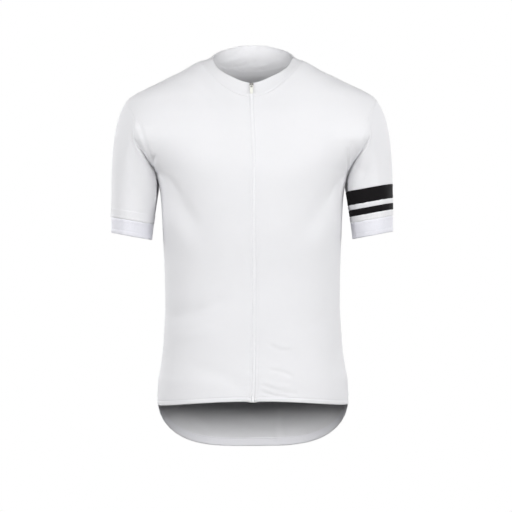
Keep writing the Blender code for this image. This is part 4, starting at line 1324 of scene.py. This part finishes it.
def beside_zip(s, sign=1):
    """The line up a front and the collar at the distance s from the middle, and the ways out. The
    sign is 1 for the wearer's left."""
    top_z = neckline(np.array([math.asin(s / NECK_HALF_WIDTH)]))[0, 2]
    hem_z = SIDE_HEM + FRONT_HEM_RISE * (1 - (s / half_width(SIDE_HEM)) ** 2)
    z = np.linspace(hem_z, top_z, 150)
    flip = np.array([sign, 1, 1])
    body = on_section(np.full(z.shape, float(s)), z, "front") * flip
    angle = np.array([0.0, 0.02]) + math.asin(s / NECK_HALF_WIDTH)
    stand = collar_half(angle, max(s, 1e-6), max(s, 1e-6))
    stand_way = unit(np.cross(stand[:, 1] - stand[:, 0], np.gradient(stand[:, 0], axis=0)))
    line = np.concatenate([cloth(body)[0], stand[1:, 0] * flip])
    return line, np.concatenate([form_normal(body), stand_way[1:] * flip])


def even_line(line, ways, pitch, start, end):
    """Points every pitch mm along a line, with the ways out and along, smoothed where it bends."""
    run = run_of(line)
    at = np.arange(start, run[-1] - end, pitch)
    read = [read_at(at + step, run, line) for step in READ_STEPS]
    out = unit(sum(read_at(at + step, run, ways) for step in READ_STEPS))
    points, along = read[2], unit(read[-1] - read[0])
    out = unit(out - along * (out * along).sum(-1, keepdims=True))
    return points, out, along


# %% The tapes
TAPE_ROW = 4.0
TAPE_COLUMNS = (0.2, 1.2, 2.4, 4.0, 6.0, 8.5, 11.0, 12.2, 13.0)
for hand, sign in (("left", 1), ("right", -1)):
    columns = [even_line(*beside_zip(s, sign), TAPE_ROW, 0, TAPE_END) for s in TAPE_COLUMNS[::sign]]
    length = min(len(points) for points, _, _ in columns)
    grid = np.stack([points[:length] for points, _, _ in columns], axis=1)
    ways = np.stack([out[:length] for _, out, _ in columns], axis=1)
    behind = np.where(grid[:, :1, 2] < neckline(np.zeros(1))[0, 2] - 2, CLOTH, COLLAR_CLOTH)
    grid = grid - ways * (behind + LAYER_GAP)[..., None]
    cloth_piece("zip_tape_" + hand, grid, ways, TAPE, zip_tape)
print("The tapes are", round(len(grid) * TAPE_ROW), "mm long")


# %% Repeat a small shape along a line
def tube_faces(rings, sides):
    """The four-sided faces between the rings of a tube."""
    return [(ring * sides + k, (ring + 1) * sides + k, (ring + 1) * sides + (k + 1) % sides,
             ring * sides + (k + 1) % sides)
            for ring in range(rings - 1) for k in range(sides)]


def bar(length, width, height, rings=4, sides=8):
    """A rounded bar along x with its foot at z 0: points and faces."""
    at = np.linspace(-1, 1, rings + 2)[1:-1]
    turn = np.linspace(0, 2 * np.pi, sides, endpoint=False)
    size = np.sqrt(1 - at**4)
    points = [np.stack([np.full(sides, a * length / 2), np.cos(turn) * r * width / 2,
                        np.sin(turn) * r * height / 2 + height / 2], axis=-1)
              for a, r in zip(at, size, strict=True)]
    ends = np.array([[-length / 2, 0, height / 2], [length / 2, 0, height / 2]])
    faces = tube_faces(rings, sides)
    first, last = rings * sides, rings * sides + 1
    for k in range(sides):
        n = (k + 1) % sides
        faces.append((first, k, n))
        faces.append((last, (rings - 1) * sides + n, (rings - 1) * sides + k))
    return np.concatenate([*points, ends]), faces


def repeated(shape, places, axes):
    """Copies of a shape at each place. Its own x, y and z go along the three axes."""
    points, faces = shape
    x, y, z = axes
    copies = (places[:, None] + points[None, :, 0, None] * x[:, None]
              + points[None, :, 1, None] * y[:, None] + points[None, :, 2, None] * z[:, None])
    shift = len(points)
    many = [tuple(index + shift * copy for index in face)
            for copy in range(len(places)) for face in faces]
    return copies.reshape(-1, 3), many


def joined(batches):
    """Several batches of points and faces as one."""
    points, faces, shift = [], [], 0
    for batch_points, batch_faces in batches:
        points.append(batch_points)
        faces += [tuple(index + shift for index in face) for face in batch_faces]
        shift += len(batch_points)
    return np.concatenate(points), faces


# %% The coil
TOOTH_HEIGHT = 1.0
TOOTH_OFFSET = 0.92
TOOTH_LEAN = 0.16
TOOTH = bar(2.75, 0.86, TOOTH_HEIGHT)
CORE_STEP = 3.0
batches = []
for sign in (-1, 1):
    start = COIL_START + (COIL_PITCH / 2 if sign > 0 else 0)
    places, out, along = even_line(*beside_zip(0), COIL_PITCH, start, COIL_END)
    side_way = np.cross(along, out) * sign
    lean = unit(side_way + along * TOOTH_LEAN)
    places = places + side_way * TOOTH_OFFSET + out * (COIL_PROUD - TOOTH_HEIGHT)
    batches.append(repeated(TOOTH, places, (lean, unit(np.cross(out, lean)), out)))
places, out, along = even_line(*beside_zip(0), CORE_STEP, COIL_START, COIL_END)
side_way = np.cross(along, out)
CORE = ((-2.6, -1.0), (-2.2, -0.7), (-1.6, -0.3), (-1.0, -0.25), (0, -0.2), (1.0, -0.25),
        (1.6, -0.3), (2.2, -0.7), (2.6, -1.0))
cord_grid = np.stack([places + side_way * x + out * y for x, y in CORE], axis=1)
coil_points, coil_faces = joined(batches)
coil = new_piece("coil_teeth", coil_points, coil_faces, nylon)
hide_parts("zip_chain")
core = wall("coil_core", cord_grid, np.repeat(out[:, None], len(CORE), axis=1), 0.3, nylon)
print("The coil has", round(len(places) * CORE_STEP), "mm of teeth,", len(coil_faces), "faces")

# %% [markdown]
# ## The slider and its tab
#
# The slider holds the tapes between two plates. We cut its plates from one outline, whose curve is
# bevelled round for the cast edges, and bend a rod into the bail. The tab hangs from the bail by its
# ring and is the one piece that swings, so it rides on its own body.

# %% Where the slider sits
joint = frame["joints"][0]
pivot = Vector(joint["pos_m"])
SLIDER_TOP_HALF_WIDTH = 3.6
SLIDER_LOW_HALF_WIDTH = 2.9
SLIDER_LENGTH = 8.4
SLIDER_PLATE = 1.1
SLIDER_BELOW_EDGE = 0.6
BAIL_CLEARANCE = 1.9
BAIL_LENGTH = 5.7
BAIL_ROD = 1.0
SLIDER_POST = (1.5, 2.4)
POST_BELOW_TOP = 0.1
PLATE_EDGE = 0.32
TAB_LEAN = 0.5
LEANS_FROM = 0.67
stand = collar_half(np.array([0.0]), 0, 0)[:, 0]
lower = between(stand[:, None].repeat(2, 1), np.array([LEANS_FROM * (len(stand) - 1)]), np.zeros(1))
up = unit(stand[-1] - lower[0, 0])
slider_frame = Matrix(((1, 0, 0), (0, up[1], -up[2]), (0, up[2], up[1]))).to_4x4()
slider_frame.translation = Vector(stand[-1] * MM)
face = COIL_PROUD + LAYER_GAP
back_face = -COLLAR_CLOTH - 2 * LAYER_GAP - TAPE
slider_top = -SLIDER_BELOW_EDGE
slider_foot = slider_top - SLIDER_LENGTH
slider_middle = (slider_top + slider_foot) / 2
print("The tab swings about", [round(v * 1000, 1) for v in pivot], "mm")


# %% Plates, rods and the tab's outline
def rounded_outline(corners, radius, steps=5):
    """A closed outline with each corner rounded off by steps points."""
    points = []
    count = len(corners)
    for i, corner in enumerate(corners):
        here = np.array(corner, float)
        before = unit(np.array(corners[i - 1]) - here)
        after = unit(np.array(corners[(i + 1) % count]) - here)
        for t in np.linspace(0, 1, steps):
            points.append(here + radius * ((1 - t) ** 2 * before + t**2 * after))
    return [tuple(p) for p in points]


def plate(outlines, thickness, edge):
    """A flat plate from a closed outline and its holes, with rounded edges, as a mesh in metres."""
    curve = bpy.data.curves.new("outline", "CURVE")
    curve.dimensions = "2D"
    curve.fill_mode = "BOTH"
    curve.extrude = (thickness / 2 - edge) * MM
    curve.bevel_depth = edge * MM
    curve.offset = -edge * MM
    curve.bevel_resolution = 3
    for outline in outlines:
        line = curve.splines.new("POLY")
        line.points.add(len(outline) - 1)
        for point, (x, y) in zip(line.points, outline, strict=True):
            point.co = (x * MM, y * MM, 0, 1)
        line.use_cyclic_u = True
    holder = bpy.data.objects.new("outline", curve)
    mesh = bpy.data.meshes.new_from_object(holder)
    bpy.data.objects.remove(holder)
    return mesh


def rod(path, width, height, sides=14):
    """A rod of oval section bent along a path in the y, z plane: points and faces."""
    path = np.array(path, float)
    along = unit(np.gradient(path, axis=0))
    over = np.stack([-along[:, 1], along[:, 0]], axis=-1)
    turn = np.linspace(0, 2 * np.pi, sides, endpoint=False)
    rings = [np.stack([np.cos(turn) * width / 2, p[0] + o[0] * np.sin(turn) * height / 2,
                       p[1] + o[1] * np.sin(turn) * height / 2], axis=-1)
             for p, o in zip(path, over, strict=True)]
    faces = [(a, d, c, b) for a, b, c, d in tube_faces(len(path), sides)]
    faces.append(tuple(range(sides))[::-1])
    faces.append(tuple(range((len(path) - 1) * sides, len(path) * sides)))
    return np.concatenate(rings), faces


def placed_mesh(name, mesh, matrix, finish, body):
    """An object for a mesh in metres, set in its place, which rides on a body."""
    mesh.transform(matrix)
    mesh.shade_smooth()
    mesh.set_sharp_from_angle(angle=math.radians(35))
    mesh.materials.clear()
    mesh.materials.append(finish)
    mesh.name = name
    made = bpy.data.objects.new(name, mesh)
    bpy.context.scene.collection.objects.link(made)
    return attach(made, body)


# %% The slider
BAIL_SUNK = 0.3
BAIL_SHAPE = (
    # shares of the bail's half length and of its height
    (-1.02, 0), (-1.02, 0.3), (-1.0, 0.62), (-0.93, 0.85), (-0.78, 0.97), (-0.5, 1.0), (0, 1.01),
    (0.5, 1.0), (0.78, 0.97), (0.93, 0.85), (1.0, 0.62), (1.02, 0.3), (1.02, 0),
)


def on_slider(height):
    """The slider's middle, moved this many mm out of the cloth."""
    return slider_frame @ Matrix.Translation((0, 0, height * MM))


wide, slim = SLIDER_TOP_HALF_WIDTH, SLIDER_LOW_HALF_WIDTH
shield = rounded_outline([(wide, slider_top), (-wide, slider_top), (-wide, slider_middle),
                          (-slim, slider_foot), (slim, slider_foot), (wide, slider_middle)], 1.3)
front_plate = placed_mesh("slider_front_plate", plate([shield], SLIDER_PLATE, PLATE_EDGE),
                          on_slider(face + SLIDER_PLATE / 2), zinc, "garment")
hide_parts("zip_slider")
back_plate = placed_mesh("slider_back_plate", plate([shield], SLIDER_PLATE, PLATE_EDGE),
                         on_slider(back_face - SLIDER_PLATE / 2), zinc, "garment")
across, tall = SLIDER_POST[0] / 2, SLIDER_POST[1] / 2
post_middle = slider_top - tall - POST_BELOW_TOP
post = rounded_outline([(across, post_middle - tall), (across, post_middle + tall),
                        (-across, post_middle + tall), (-across, post_middle - tall)], 0.4)
post_depth = face - back_face + 1
post_piece = placed_mesh("slider_post", plate([post], post_depth, 0.1),
                         on_slider((face + back_face) / 2), zinc, "garment")
plate_top = face + SLIDER_PLATE
crown = plate_top + BAIL_CLEARANCE + BAIL_ROD / 2
foot = plate_top - BAIL_SUNK
reach = (BAIL_LENGTH - BAIL_ROD) / 2
bail_path = [(slider_middle + reach * a, foot + (crown - foot) * h) for a, h in BAIL_SHAPE]
points, faces = rod(bail_path, 1.5, BAIL_ROD)
mesh = bpy.data.meshes.new("slider_bail")
mesh.from_pydata((points * MM).tolist(), [], faces)
bail = placed_mesh("slider_bail", mesh, slider_frame, zinc, "garment")
print("The slider is", SLIDER_LENGTH, "mm long")

# %% The tab
TAB_BAR = 0.9
TAB_ARM = 1.3
TAB_WIDTH = 6.2
TAB_WINDOW = 3.2
TAB_LENGTH = 16
TAB_TAPER = 0.15
TAB_CORNER = (1.9, 2.6)
TAB_BELOW_MIDDLE = 1
half, top, tip = TAB_WIDTH / 2, TAB_BAR / 2, -TAB_LENGTH
inner, cut = half - TAB_ARM, half - TAB_CORNER[0]
side, corner = half - TAB_TAPER, tip + TAB_CORNER[1]
outline = rounded_outline([(half, top), (-half, top), (-side, corner), (-cut, tip), (cut, tip),
                           (side, corner)], 0.9)
window = rounded_outline([(inner, -top), (-inner, -top), (-inner, -top - TAB_WINDOW),
                          (inner, -top - TAB_WINDOW)], 0.35)
in_bail = Matrix.Translation((0, (slider_middle - TAB_BELOW_MIDDLE) * MM,
                              (plate_top + BAIL_CLEARANCE / 2) * MM))
hang = slider_frame @ in_bail @ Matrix.Rotation(math.radians(-TAB_LEAN), 4, "X")
tab = placed_mesh("enamel_tab", plate([outline, window], TAB_BAR, 0.24), hang, enamel, "pull_tab")
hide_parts("zip_pull")
print("The tab is", TAB_LENGTH, "mm long, on the body pull_tab")

# %% The box and pin at the zip's foot
BOX_HALF_WIDTH = 2.3
BOX_TOP = 4.3
BOX_FOOT = -4.2
BOX_SUNK = 0.15
PIN_HALF_WIDTH = 1.1
PIN_FOOT = -6.3
places, out, along = even_line(*beside_zip(0), 1.0, BOX_TOP, 0)
box_axes = np.stack([np.cross(along[0], out[0]), along[0], out[0]], axis=1)
box_frame = Matrix(box_axes.tolist()).to_4x4()
box_frame.translation = Vector((places[0] - out[0] * BOX_SUNK) * MM)
box_outline = rounded_outline([
    (BOX_HALF_WIDTH, BOX_TOP), (-BOX_HALF_WIDTH, BOX_TOP), (-BOX_HALF_WIDTH, BOX_FOOT),
    (-PIN_HALF_WIDTH, PIN_FOOT), (PIN_HALF_WIDTH, PIN_FOOT), (BOX_HALF_WIDTH, BOX_FOOT),
], 0.8)
zip_box = placed_mesh("moulded_box", plate([box_outline], 2.0, 0.45), box_frame, nylon, "garment")
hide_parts("zip_box")

# %% [markdown]
# ## Sewing
#
# A seam's furrow shows from afar, and its stitches from near. Each stitch is a small bar of thread
# laid on the cloth, 2.25 mm long, with a gap where the thread dives through.

# %% Lines of stitches
STITCH = bar(2.25, 0.42, 0.36, rings=3, sides=6)
STITCH_PITCH = 2.9
HALF_STITCH = 1.1
STITCH_SUNK = 0.13
UNSEWN_END = 1.5


def line_at(piece, edge, distance):
    """The line on a piece's outer skin that runs along one of its edges at a distance."""
    outer, ways, _ = panels[piece]
    gap = distances(outer)[edge]
    across_columns = edge in ("bottom", "top")
    if not across_columns:
        outer, ways, gap = outer.swapaxes(0, 1), ways.swapaxes(0, 1), gap.T
    line, out = [], []
    for column in range(outer.shape[1]):
        order = np.argsort(gap[:, column])
        known = gap[order, column]
        line.append(read_at(distance, known, outer[order, column]))
        out.append(read_at(distance, known, ways[order, column]))
    return np.array(line), unit(np.array(out))


def sew(line, out):
    """Stitches along a line: points and faces."""
    run = run_of(line)
    at = np.arange(UNSEWN_END + STITCH_PITCH / 2, run[-1] - UNSEWN_END, STITCH_PITCH)
    along = unit(read_at(at + HALF_STITCH, run, line) - read_at(at - HALF_STITCH, run, line))
    way = read_at(at, run, out)
    way = unit(way - along * (way * along).sum(-1, keepdims=True))
    places = read_at(at, run, line) - way * STITCH_SUNK
    return repeated(STITCH, places, (along, unit(np.cross(way, along)), way))


STITCH_ROWS = {
    # piece, edge that the row runs beside, distance from it
    "stitches_hem": [("front_left", "bottom", 7.5), ("front_right", "bottom", 7.5),
                     ("back", "bottom", 13.0)],
    "stitches_zip": [("front_left", "left", 5.2), ("front_right", "right", 5.2),
                     ("collar", "left", 5.2), ("collar", "right", 5.2)],
    "stitches_collar": [("collar", "bottom", 3.4), ("front_left", "top", 2.6),
                        ("front_right", "top", 2.6)],
    "stitches_cuffs": [("cuff_left", "bottom", 24.5), ("cuff_right", "bottom", 24.5),
                       ("sleeve_right", "bottom", STITCH_ABOVE_CUFF)],
    "stitches_pockets": [("pocket_panel", "left", 2.4), ("pocket_panel", "right", 2.4),
                         ("pocket_panel", "bottom", 2.4), ("pocket_binding", "bottom", 2.0),
                         ("pocket_binding", "top", 2.0)],
}
for name, rows in STITCH_ROWS.items():
    batches = []
    for piece, edge, distance in rows:
        line, out = line_at(piece, edge, distance)
        if piece.startswith(("cuff", "sleeve")):
            line, out = np.concatenate([line, line[:1]]), np.concatenate([out, out[:1]])
        batches.append(sew(line, out))
    if name == "stitches_pockets":
        outer, out, _ = panels["pocket_panel"]
        for divider in POCKET_DIVIDERS:
            run = distances(outer)["left"]
            column = int(np.argmin(np.abs(run[0] / run[0, -1] - divider)))
            batches.append(sew(outer[:, column], out[:, column]))
    points, faces = joined(batches)
    made = new_piece(name, points, faces, thread)
    print(name, "has", len(faces), "faces")

# %% [markdown]
# ## The flat size of each piece of cloth
#
# The knit has hardly any stretch left in it on the form, so its flat size is what its rows and
# columns measure.


LEAST_AREA = 0.3


def declare(name):
    """Prints a piece's cut, worked out in metres: its widest row, its longest column and its area."""
    grid, _, piece = panels[name]
    closed = name.startswith(("cuff", "sleeve", "hoop"))
    round_grid = np.concatenate([grid, grid[:, :1]], axis=1) if closed else grid
    a = round_grid[1:, 1:] - round_grid[:-1, :-1]
    b = round_grid[1:, :-1] - round_grid[:-1, 1:]
    area = np.linalg.norm(np.cross(a, b), axis=-1).sum() / 2 * MM**2
    gap = distances(round_grid)
    flat_size = gap["left"][:, -1].max() * MM, gap["bottom"][-1].max() * MM
    whole = flat_size[0] * flat_size[1]
    area = min(max(area, LEAST_AREA * whole), whole)
    print(f"{name}: {flat_size[0] * 1000:.0f} x {flat_size[1] * 1000:.0f} mm, {area * 1e4:.0f} cm2")


for name in panels:
    if name == "hoop_left_gap":
        continue
    declare(name)

# %% [markdown]
# ## Light, floor and camera
#
# White cloth on a white ground needs soft light, or it either burns out or turns grey. Two soft
# boxes at the sides give form, three in front fill it, two light the back, and a pale sky does the
# rest. It is darker below than above, so that the hollows of the neck and the tail stay dark.

# %% The floor
FLOOR_DROP = 1.9
FLOOR_RADIUS = 9
FLOOR_Z = cad_box[0][2] - FLOOR_DROP


def shining_paper(name, strength):
    """A plain white surface that also shines a little, so that it is white wherever it is seen."""
    made, shader = new_finish(name)
    set_inputs(made, shader, {"Base Color": linear("#fafafa"), "Roughness": 0.9,
                              "Emission Color": linear("#ffffff"), "Emission Strength": strength})
    return made


bpy.ops.mesh.primitive_circle_add(vertices=64, radius=FLOOR_RADIUS, fill_type="NGON",
                                  location=(0, 0, FLOOR_Z))
floor = bpy.context.object
floor.name = "studio_floor"
floor.data.materials.append(shining_paper("white_background_paper", 1.0))
floor.visible_diffuse = False
floor.visible_glossy = False
floor.visible_shadow = False
print("The floor lies at", round(FLOOR_Z, 3), "m")


# %% The lamps and the sky
def soft_lamp(name, place, size, watts):
    """A rectangular soft box that points at the middle of the jersey."""
    light = bpy.data.lights.new(name, "AREA")
    light.shape = "RECTANGLE"
    light.size, light.size_y = size
    light.energy = watts
    lamp = bpy.data.objects.new(name, light)
    lamp.location = place
    lamp.rotation_euler = (Vector(MIDDLE) - Vector(place)).to_track_quat("-Z", "Y").to_euler()
    lamp.visible_camera = False
    bpy.context.scene.collection.objects.link(lamp)


MIDDLE = (0.0, 0.0, -0.36)
SOFT_BOXES = [
    # name, place, width and height, watts
    ("left_box", (-3.0, -1.7, 0.4), (1.8, 1.25), 52),
    ("right_box", (3.0, -1.7, 0.4), (1.8, 1.25), 58),
    ("front_box", (0.0, -3.3, 0.22), (1.8, 0.7), 26),
    ("front_left_box", (-1.75, -2.9, 0.2), (1.2, 1.05), 22),
    ("front_right_box", (1.75, -2.9, 0.2), (1.2, 1.05), 29),
    ("back_left_box", (-2.2, 2.6, 0.4), (1.6, 1.8), 72),
    ("back_right_box", (2.2, 2.6, 0.4), (1.6, 1.8), 50),
]
for box in SOFT_BOXES:
    soft_lamp(*box)

SKY = [
    # height in the sky from -1 below to 1 above, brightness
    (-1.0, 0.04), (0.0, 0.03), (0.16, 0.17), (0.5, 0.19), (1.0, 0.2),
]
PAPER_IN_METAL = 0.45
world = bpy.data.worlds.new("studio_sky")
world.use_nodes = True
bpy.context.scene.world = world
place = add_node(world, "TexCoord", {})
height = add_node(world, "SeparateXYZ", {"Vector": place.outputs["Generated"]})
share = add_node(world, "MapRange", {"Value": height.outputs["Z"], "From Min": -1.0,
                                     "From Max": 1.0})
ramp = add_node(world, "ValToRGB", {"Fac": share.outputs["Result"]})
for _ in SKY[2:]:
    ramp.color_ramp.elements.new(0.5)
for stop, (at, brightness) in zip(ramp.color_ramp.elements, SKY, strict=True):
    stop.position = (at + 1) / 2
    stop.color = (brightness, brightness, brightness, 1)
background = world.node_tree.nodes["Background"]
world.node_tree.links.new(ramp.outputs["Color"], background.inputs["Color"])
white = add_node(world, "Background", {"Color": linear("#ffffff")})
ray = add_node(world, "LightPath", {})
paper = add_node(world, "Math", {0: ray.outputs["Is Glossy Ray"], 1: PAPER_IN_METAL,
                                 2: ray.outputs["Is Camera Ray"]}, operation="MULTIPLY_ADD")
seen = add_node(world, "MixShader", {0: paper.outputs[0], 1: background.outputs[0],
                                     2: white.outputs[0]})
world.node_tree.links.new(seen.outputs[0], world.node_tree.nodes["World Output"].inputs["Surface"])

# %% The camera
CAMERA_ROLL = 0.26
camera = bpy.data.objects.new("camera", bpy.data.cameras.new("camera"))
camera.location = (0.0068, -3.0, -0.357)
camera.rotation_euler = (math.pi / 2, math.radians(CAMERA_ROLL), 0)
camera.data.lens = 114
camera.data.sensor_width = 36
bpy.context.scene.collection.objects.link(camera)
bpy.context.scene.camera = camera
bpy.context.scene.view_settings.view_transform = "Standard"
